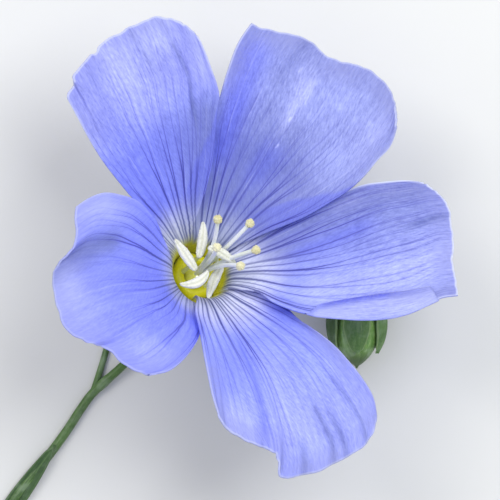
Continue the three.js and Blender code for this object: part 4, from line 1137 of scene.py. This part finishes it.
def greenMaterial(name):
    look = greenFinish[name]
    material, tree = newMaterial(name + "Green")
    place = objectPlace(tree)
    uneven = useGroup(tree, tissue, {"Place": place, "Patch": 1.1, "Grain": 0.5})
    skin = valueOf(tree, "ShaderNodeMapping", {
        "Vector": attributeValue(tree, "skin", "Vector"), "Scale": look["fibres"]})
    fibres = noise(skin, 2.0, detail=4, roughness=0.6)
    tone = uneven["Tone"] * 0.6 + fibres * 0.5
    colour = mixColour(ramp(tone, 0.32, 0.62), look["shade"], look["base"])
    colour = mixColour(ramp(fibres, 0.52, 0.72, 0.0, 0.6), colour, look["light"])
    # the shaded value paints shade with the dark colour
    for mask, tint, share in (("rib", "rib", 0.7), ("shaded", "dark", 0.85),
                              ("margin", "margin", 0.8)):
        colour = mixColour(attributeValue(tree, mask) * share, colour, look[tint])
    wax = ramp(noise(place, 900), 0.45, 0.7, 0.0, look["bloom"])
    colour = mixColour(wax, colour, waxColour)
    normal = bump(fibres + uneven["Cells"] * 0.35, look["relief"])
    finish(colour, wax * 0.5 + look["roughness"], normal, specular=0.45,
           through=look["through"])
    return material


greens = {name: greenMaterial(name) for name in greenFinish}

# Outlines of a sepal and a leaf: shares of the full width, from the foot to the tip

sepalOutline = {"foot": 0.62, "tip": 0.12, "footEnd": 0.5, "broadest": 0.72, "fullness": 0.8}
leafOutline = {"foot": 0.34, "tip": 0.12, "footEnd": 0.3, "broadest": 0.8, "fullness": 0.7}


def outlineWidth(outline, t):
    swell = np.sin(math.pi * np.clip(t, 0, 1) ** outline["broadest"]) ** outline["fullness"]
    foot = mix(outline["foot"], outline["tip"], smooth(t / outline["footEnd"]))
    width = np.maximum(mix(outline["tip"], 1, swell), foot)
    return width * mix(1, 0.15, smooth((t - 0.9) / 0.1))


def makeBlade(name, grid, half, side, along, ribs, margin, material, thickness, shaded=0.0):
    # a leaf or sepal from its grid of points, with what its material reads
    values = {"skin": stacked(side * half, 0.0, along).reshape(-1, 3), "rib": ribs.ravel(),
              "margin": margin.ravel(), "shaded": np.full(margin.size, shaded)}
    obj = makeObject(name, grid.reshape(-1, 3), sheetFaces(*grid.shape[:2]), values=values)
    obj.data.materials.append(material)
    return thicken(obj, thickness)


# The stem, its side branch and its leaves. Routes are plan points from the throat, with the
# height of the underside above the surface.

stemForm = {
    "route": ((-25.7, -43.0, 0), (-23.9, -36.0, 0), (-21.4, -29.3, 0), (-18.4, -23.3, 0),
              (-15.5, -18.8, 0), (-14.0, -16.8, 0), (-12.4, -14.8, 0), (-11.1, -13.0, 0),
              (-10.0, -11.3, 0), (-9.1, -10.1, 0), (-6.4, -7.6, 0.55), (-4.2, -4.9, 2.2),
              (-2.7, -2.75, 4.7)),
    "branch": ((-9.2, -10.4, 0.06), (-8.6, -8.6, 0.02), (-8.0, -6.6, 0), (-7.0, -2.6, 0),
               (-4.4, 3.0, 0), (-0.4, 8.2, 0), (4.6, 10.6, 0), (9.2, 8.4, 0), (11.9, 3.9, 0),
               (12.6, 1.2, 0.75)),
    "routeTop": (-6.4, -5.3), "branchTop": (-1.4, -0.8),
    "cut": 0.52, "fork": 0.36, "pedicel": 0.29, "branchRadius": 0.27, "forkPlace": 0.74,
    "knuckle": 0.05, "slim": 0.97,
    "receptacle": ((0.3, -6.2), (0.34, -6.1), (0.5, -5.65), (0.95, -5.3), (1.6, -4.85),
                   (2.0, -4.45), (2.02, -4.2), (1.9, -4.08), (0.3, -4.08)),
    "seat": ((0.24, -1.35), (0.28, -1.25), (0.6, -0.8), (0.75, -0.5), (0.72, -0.32),
             (0.2, -0.28)),
}

leafList = [
    {"along": 0.44, "turn": -4, "length": 9.2, "width": 1.4, "lift": 0.1, "tip": 0.7,
     "curve": 0.1},
    {"along": 0.34, "turn": 27, "length": 12.5, "width": 2.0, "lift": 0.1, "tip": 1.6,
     "curve": 0.9},
    {"along": 0.23, "turn": -30, "length": 13.5, "width": 2.2, "lift": 0, "tip": 0,
     "curve": -1.1},
    {"along": 0.13, "turn": 26, "length": 14.5, "width": 2.3, "lift": 0.1, "tip": 2.0,
     "curve": 1.0},
]

leafForm = {"rows": 56, "columns": 16, "thickness": 0.24, "rootRise": 0.3, "channel": 0.16,
            "ripple": 0.05, "clear": 0.05}


def stemRadius(share):
    form = stemForm
    lower = mix(form["cut"], form["fork"], np.clip(share / form["forkPlace"], 0, 1))
    upper = np.clip((share - form["forkPlace"]) / (1 - form["forkPlace"]), 0, 1)
    knuckle = form["knuckle"] * bell(share, form["forkPlace"], 0.012)
    return form["slim"] * mix(lower, form["pedicel"], upper) + knuckle


def stemLine(route, place, top, radius):
    # the middle of a stem whose underside follows a route and which ends on a flower's axis
    points = [aboveSurface(point) for point in route] + list(inPlace(place, 0, 0, top))
    centre = curveAt(points, np.linspace(0, 1, len(radius)))
    centre[:, 2] = np.maximum(0, centre[:, 2]) + radius
    return centre


def leafBlade(number, shape, stem):
    form = leafForm
    t = np.linspace(0, 1, form["rows"] + 1)[:, None]
    side = np.linspace(1, -1, form["columns"] + 1)[None, :]
    place = int(round(shape["along"] * (len(stem) - 1)))
    ahead = stem[place + 1] - stem[place - 1]
    way = math.atan2(ahead[1], ahead[0]) + math.radians(shape["turn"])
    forward = np.array([math.cos(way), math.sin(way)])
    sideways = np.array([-forward[1], forward[0]])
    half = 0.5 * shape["width"] * outlineWidth(leafOutline, t)
    lay = shape["lift"] + form["thickness"] / 2 + shape["tip"] * t ** 2
    root = form["rootRise"] * (1 - smooth(t / 0.22))
    channel = form["channel"] * side ** 2 * smooth(t / 0.1) * (1 - 0.6 * t)
    ripple = form["ripple"] * np.sin(7 * t + 2 * number) * side * smooth(t / 0.2)
    rise = lay + root + channel + ripple + form["clear"]
    plan = (stem[place, :2] + forward * (t * shape["length"])[..., None]
            + sideways * (shape["curve"] * t ** 2 + side * half)[..., None])
    grid = np.concatenate([plan, rise[..., None]], axis=-1)
    return makeBlade("leaf%d" % number, grid, half, side, t * shape["length"],
                     bell(side, 0, 0.12) + 0 * t, smooth((np.abs(side) - 0.86) / 0.14) + 0 * t,
                     greens["leaf"], form["thickness"])


def makeStem():
    form = stemForm
    girth = stemRadius(np.linspace(0, 1, 260))
    centre = stemLine(form["route"], flower, form["routeTop"], girth)
    main = makeThread("mainStem", centre, girth, greens["stem"], sides=24, ridges=7, depth=0.012)
    thin = np.full(180, form["slim"] * form["branchRadius"])
    side = stemLine(form["branch"], capsule, form["branchTop"], thin)
    branch = makeThread("branch", side, thin, greens["stem"], sides=20, ridges=5, depth=0.008)
    receptacle = turned("receptacle", form["receptacle"], flower, greens["stem"])
    seat = turned("seat", form["seat"], capsule, greens["stem"], rows=28)
    leaves = [leafBlade(k, shape, centre) for k, shape in enumerate(leafList)]
    stem = join("leafyStem", [main, branch, receptacle, seat, *leaves])
    placePiece(stem, "stem")


makeStem()
print("stem and leaves made")

# Sepals, under the flower and round the capsule

sepalForm = {
    "flower": {"profile": ((2.1, -5.1), (2.8, -4.6), (3.0, -3.8), (3.05, -2.6), (3.15, -1.7),
                           (3.5, -0.9)), "halfWidth": 1.45},
    "capsule": {"profile": ((1.25, -0.4), (2.0, 0.35), (2.3, 1.3), (2.32, 2.3), (2.12, 3.3),
                            (1.68, 4.25)), "halfWidth": 1.25},
    "reach": 28, "rows": 44, "columns": 26, "thickness": 0.2, "keel": 0.1, "curl": 0.08,
    # shaded: how much painted shade each capsule sepal gets, most on the second
    "ribRelief": 0.035, "shaded": (0.1, 0.85, 0.6, 0.4, 0.1),
}


def sepalBlade(name, node, place, kind, azimuth, shaded=0.0):
    form = sepalForm
    t = np.linspace(0, 1, form["rows"] + 1)
    path = curveAt(form[kind]["profile"], t, 20)
    t = t[:, None]
    side = np.linspace(-1, 1, form["columns"] + 1)[None, :]
    radius, height = path[:, :1], path[:, 1:]
    half = form[kind]["halfWidth"] * outlineWidth(sepalOutline, t)
    reach = np.minimum(half / radius, math.radians(form["reach"]))
    ribs = bell(side, 0, 0.07) + 0.7 * bell(np.abs(side), 0.42, 0.06)
    ribs = ribs * (1 - smooth((t - 0.75) / 0.2)) * smooth(t / 0.1)
    keel = form["keel"] * (1 - np.abs(side)) * smooth(t / 0.3)
    curl = -form["curl"] * side ** 2 * smooth(t / 0.4)
    grid = inPlace(place, radius + keel + curl + form["ribRelief"] * ribs,
                   azimuth + reach * side, height)
    margin = smooth((np.abs(side) - 0.84) / 0.12) * smooth(t / 0.15)
    obj = makeBlade(name, grid, half, side, height, ribs, margin, greens["sepal"],
                    form["thickness"], shaded)
    placePiece(obj, node)


for k, petal in enumerate(petalList):
    number = str(k + 1)
    gap = (petalList[(k + 1) % 5]["claw"] - petal["claw"]) % 360
    sepalBlade("sepal" + number, "sepal_" + number, flower, "flower",
               math.radians(petal["claw"] + gap / 2))
    sepalBlade("capsuleSepal" + number, "capsule_sepal_" + number, capsule, "capsule",
               math.pi / 2 + 2 * math.pi * k / 5, sepalForm["shaded"][k])
print("sepals made")

# The young capsule, with the seams of its chambers

capsuleForm = {
    "profile": ((0.3, 0.02), (0.9, 0.12), (1.6, 0.8), (1.95, 1.7), (1.96, 2.5), (1.72, 3.4),
                (1.25, 4.3), (0.6, 5.0), (0.16, 5.32), (0.07, 5.5)),
    # darkFrom: from this share of its length the capsule darkens to its tip, painted shade
    "seam": 0.055, "halfSeam": 0.02, "darkFrom": 0.62,
}


def capsuleLobes(azimuth, t):
    seams = np.abs(np.cos(2.5 * azimuth)) ** 14
    halves = np.abs(np.sin(2.5 * azimuth)) ** 20
    fade = smooth(t / 0.2) * (1 - 0.4 * smooth((t - 0.85) / 0.15))
    return 1 - (capsuleForm["seam"] * seams + capsuleForm["halfSeam"] * halves) * fade


capsuleBody = turned("youngCapsule", capsuleForm["profile"], capsule, greens["capsule"],
                     sides=120, rows=80, lobes=capsuleLobes, darkFrom=capsuleForm["darkFrom"])
placePiece(capsuleBody, "capsule")
print("capsule made")

# Stamens: five anthers on filaments that are joined in a ring, with nectar glands round its foot

softFinish = {
    "anther": {"colour": (228, 228, 216), "shade": (190, 192, 172), "roughness": 0.7,
               "grain": 0.5, "relief": 0.02, "through": 0.12},
    "pollen": {"colour": (232, 231, 216), "shade": (208, 205, 178), "roughness": 0.8,
               "grain": 0.4, "relief": 0.01, "through": 0.0},
    "filament": {"colour": (246, 250, 214), "shade": (232, 238, 160), "roughness": 0.4,
                 "grain": 0.3, "relief": 0.01, "through": 0.1},
    "gland": {"colour": (234, 230, 44), "shade": (214, 211, 30), "roughness": 0.32,
              "grain": 0.6, "relief": 0.03, "through": 0.08},
    "style": {"colour": (250, 252, 246), "shade": (238, 243, 214), "roughness": 0.38,
              "grain": 0.3, "relief": 0.01, "through": 0.1},
    "ovary": {"colour": (246, 246, 150), "shade": (234, 235, 96), "roughness": 0.35,
              "grain": 0.4, "relief": 0.02, "through": 0.1},
    "staminode": {"colour": (222, 176, 120), "shade": (196, 150, 84), "roughness": 0.5,
                  "grain": 0.3, "relief": 0.01, "through": 0.1},
    "stigma": {"colour": (224, 220, 188), "shade": (204, 197, 148), "roughness": 0.6,
               "grain": 0.5, "relief": 0.03, "through": 0.1},
}


def softMaterial(name):
    look = softFinish[name]
    material, tree = newMaterial(name)
    uneven = useGroup(tree, tissue, {
        "Place": objectPlace(tree), "Patch": 1.0, "Grain": look["grain"]})
    colour = mixColour(ramp(uneven["Tone"], 0.3, 0.62), look["shade"], look["colour"])
    # painted shade: the anthers' grooves, carried in their rib value, are darkened toward the
    # shade colour
    colour = mixColour(attributeValue(tree, "rib") * 0.6, colour, look["shade"])
    finish(colour, look["roughness"], bump(uneven["Cells"], look["relief"]), sheen=0.1,
           through=look["through"])
    return material


softs = {name: softMaterial(name) for name in softFinish}

stamenList = [
    {"outer": (-2.4, 2.3, 2.2), "inner": (-0.7, -0.2, 2.6), "ring": 130, "bend": 0.0},
    {"outer": (-0.15, 3.7, 2.4), "inner": (-0.5, 0.8, 2.6), "ring": 60, "bend": 0.04},
    {"outer": (-2.0, -1.3, 2.8), "inner": (0.3, -0.3, 3.2), "ring": 201, "bend": -0.16},
    {"outer": (0.25, -2.4, 2.2), "inner": (1.35, 0.15, 0.2), "ring": 270, "bend": 0.03},
    {"outer": (2.45, 0.34, 3.6), "inner": (0.26, 1.68, 3.8), "ring": 345, "bend": -0.05},
]

stamenForm = {
    "ring": ((0.86, -3.0), (0.94, -3.7), (1.5, -3.76), (1.82, -3.55), (1.92, -3.0), (1.96, -2.5),
             (1.8, -2.12), (1.5, -1.94), (1.2, -1.96), (0.96, -2.2), (0.86, -3.0)),
    "ringMiddle": 1.15, "ringTop": -2.0, "gland": 0.05,
    "anther": {"radius": 0.38, "groove": 0.3, "wide": 1.08, "high": 0.92},
    "filament": {"foot": 0.21, "tip": 0.11, "sunk": 0.5, "rise": 1.6, "out": 0.08, "knee": 0.6,
                 "sag": 0.25, "hold": 0.4},
    "pollenSize": 0.035, "pollenDensity": 42,
    "staminode": ((-1.0, 0.6, -2.4), (-1.45, 1.55, -1.2), (-1.3, 2.1, -0.3), (-0.98, 2.75, 0.5)),
}


def glands(azimuth, t):
    # five swellings round the foot of the ring
    low = smooth((0.55 - np.abs(t - 0.35)) / 0.3)
    return 1 + stamenForm["gland"] * np.cos(5 * azimuth) * low


def makeAnther(number, shape):
    form = stamenForm["anther"]
    outer, inner = atAxisHeight(shape["outer"]), atAxisHeight(shape["inner"])
    length = np.linalg.norm(outer - inner)
    along = (outer - inner) / length
    up = unit(np.array([0, 0, 1]) - along * along[2])
    wide = np.cross(along, up)
    t = np.linspace(0.004, 0.996, 46)[:, None]
    angle = np.linspace(0, 2 * math.pi, 40, endpoint=False)[None, :]
    swell = np.sin(math.pi * t ** 0.95) ** 0.32 * (1 - 0.25 * smooth((t - 0.5) / 0.5))
    groove = bell(angle, math.pi / 2, 0.26) + bell(angle, 1.5 * math.pi, 0.26) + 0 * t
    wrinkle = 0.02 * np.sin(23 * t + 3 * np.sin(angle + number))
    radius = form["radius"] * swell * (1 - form["groove"] * groove + wrinkle)
    bend = shape["bend"] * length * 4 * t * (1 - t)
    rings = (inner + (outer - inner) * t[..., None]
             + wide * (bend + radius * np.cos(angle) * form["wide"])[..., None]
             + up * (radius * np.sin(angle) * form["high"])[..., None])
    points, faces = closedRings(rings)
    # the grooves are also painted darker, as shade, in the material
    values = {"rib": np.append(groove, [0, 0]), "dusty": np.append(0.25 + 0.75 * groove, [0, 0])}
    obj = makeObject("anther%d" % number, points, faces, values=values)
    obj.data.materials.append(softs["anther"])
    return faceOut(obj), inner, outer


def makeStamens():
    form = stamenForm
    thin = form["filament"]
    shares = np.linspace(0, 1, 40)
    pieces = [turned("ring", form["ring"], flower, softs["gland"], sides=90, rows=50,
                     lobes=glands, closed=True)]
    for k, shape in enumerate(stamenList):
        anther, inner, outer = makeAnther(k, shape)
        root, neck = inPlace(flower, [form["ringMiddle"], form["ringMiddle"] + thin["out"]],
                             math.radians(shape["ring"]),
                             [form["ringTop"] - thin["sunk"], form["ringTop"] + thin["rise"]])
        hold = mix(inner, outer, thin["hold"])
        knee = mix(neck, hold, thin["knee"]) - thin["sag"] * flowerAxis
        path = curveAt([root, neck, knee, hold], shares)
        girth = mix(thin["foot"], thin["tip"], shares ** 0.7)
        pieces.append(makeThread("filament%d" % k, path, girth, softs["filament"], sides=14))
        pieces.append(strewGrains("pollen%d" % k, anther, form["pollenSize"],
                                  form["pollenDensity"], 11 + k, softs["pollen"]))
        pieces.append(anther)
    # the one small barren filament that shows, between the first two stamens
    shares = np.linspace(0, 1, 24)
    path = curveAt([atAxisHeight(point) for point in form["staminode"]], shares)
    pieces.append(makeThread("staminode", path, mix(0.1, 0.04, shares), softs["staminode"],
                             sides=10))
    placePiece(join("stamenRing", pieces), "stamens")


makeStamens()
print("stamens made")

# The pistil: an ovary, five spreading styles and their round stigmas

pistilForm = {
    "ovary": ((0.3, -3.82), (0.5, -3.8), (0.8, -3.3), (0.88, -2.7), (0.8, -2.1), (0.52, -1.5),
              (0.16, -1.25)),
    "stigmas": ((1.04, 3.88), (3.6, 3.56), (0.96, 1.64), (4.08, 1.44), (2.84, 0.16)),
    "stigmaHeight": 7.3, "stigmaRadius": 0.34, "knobSize": 0.055, "knobDensity": 80,
    "styleFoot": -2.0, "styleFootRadius": 0.22, "styleGirth": 0.19, "styleTip": 0.85,
}


def ovaryLobes(azimuth, t):
    return 1 - 0.08 * np.abs(np.cos(2.5 * azimuth)) ** 6 + 0 * t


def makeStigma(number, centre):
    polar = np.linspace(0.12, math.pi - 0.12, 20)[:, None]
    azimuth = np.linspace(0, 2 * math.pi, 26, endpoint=False)[None, :]
    uneven = 1 + 0.07 * np.sin(3 * azimuth + number) * np.sin(2 * polar + 1.7 * number)
    radius = pistilForm["stigmaRadius"] * uneven
    rings = centre + stacked(
        radius * np.sin(polar) * np.cos(azimuth), radius * np.sin(polar) * np.sin(azimuth),
        0.9 * radius * np.cos(polar))
    points, faces = closedRings(rings)
    obj = makeObject("stigma%d" % number, points, faces, values={"dusty": np.ones(len(points))})
    obj.data.materials.append(softs["stigma"])
    return faceOut(obj)


def makePistil():
    form = pistilForm
    t = np.linspace(0, 1, 60)
    pieces = [turned("ovary", form["ovary"], flower, softs["ovary"], sides=60, rows=40,
                     lobes=ovaryLobes)]
    for k, (x, y) in enumerate(form["stigmas"]):
        centre = atAxisHeight((x, y, form["stigmaHeight"]))
        offset = centre - throat - form["stigmaHeight"] * flowerAxis
        azimuth = math.atan2(offset @ flower["other"], offset @ flower["side"])
        path = inPlace(flower, mix(form["styleFootRadius"], np.linalg.norm(offset), t ** 2),
                       azimuth, mix(form["styleFoot"], form["stigmaHeight"], t))
        girth = form["styleGirth"] * mix(1, form["styleTip"], t)
        pieces.append(makeThread("style%d" % k, path, girth, softs["style"], sides=14))
        stigma = makeStigma(k, centre)
        pieces.append(strewGrains("papillae%d" % k, stigma, form["knobSize"],
                                  form["knobDensity"], 31 + k, softs["stigma"]))
        pieces.append(stigma)
    placePiece(join("pistilAndStyles", pieces), "pistil")


makePistil()
print("pistil made")

# The surface, the light and the camera

stageLook = {
    "floor": (212.2, 212.2, 210.1), "floorShade": (203.4, 203.4, 201.9), "floorHalf": 1500,
    "floorHeight": -0.02, "world": (0.93, 0.96, 1.0, 1), "worldStrength": 0.7,
    "aim": (6, 12, 12),
    "key": {"place": (-260, 280, 550), "size": 300, "power": 1.7, "colour": (1.0, 0.98, 0.95)},
    "fill": {"place": (240, 200, 600), "size": 350, "power": 3.0, "colour": (0.95, 0.97, 1.0)},
}


def areaLight(name, look):
    data = bpy.data.lights.new(name, "AREA")
    data.size = look["size"] * mm
    data.energy = look["power"]
    data.color = look["colour"]
    obj = bpy.data.objects.new(name, data)
    bpy.context.scene.collection.objects.link(obj)
    obj.location = Vector(look["place"]) * mm
    aim = Vector(stageLook["aim"]) - Vector(look["place"])
    obj.rotation_euler = aim.to_track_quat("-Z", "Y").to_euler()


def makeStage():
    half, height = stageLook["floorHalf"], stageLook["floorHeight"]
    corners = [(x * half, y * half, height) for x, y in ((-1, -1), (1, -1), (1, 1), (-1, 1))]
    floor = makeObject("floor", corners, [(0, 1, 2, 3)])
    material, tree = newMaterial("paleFloor")
    grain = noise(objectPlace(tree), 40, detail=4)
    finish(mixColour(grain, stageLook["floor"], stageLook["floorShade"]), 0.8, specular=0.2)
    floor.data.materials.append(material)
    world = bpy.data.worlds.new("softRoom")
    world.use_nodes = True
    background = world.node_tree.nodes["Background"]
    feed(background.inputs["Color"], stageLook["world"])
    feed(background.inputs["Strength"], stageLook["worldStrength"])
    bpy.context.scene.world = world
    areaLight("keyLight", stageLook["key"])
    areaLight("fillLight", stageLook["fill"])


cameraView = {"centre": (7.25, 12.99), "focusHeight": 13.5, "width": 40, "height": 1500}


def makeCamera():
    data = bpy.data.cameras.new("photoCamera")
    away = cameraView["height"] - cameraView["focusHeight"]
    data.sensor_width = 36
    data.lens = data.sensor_width * away / cameraView["width"]
    data.clip_start = 0.1
    data.clip_end = 4
    camera = bpy.data.objects.new("photoCamera", data)
    bpy.context.scene.collection.objects.link(camera)
    camera.location = Vector((*cameraView["centre"], cameraView["height"])) * mm
    bpy.context.scene.camera = camera


makeStage()
makeCamera()
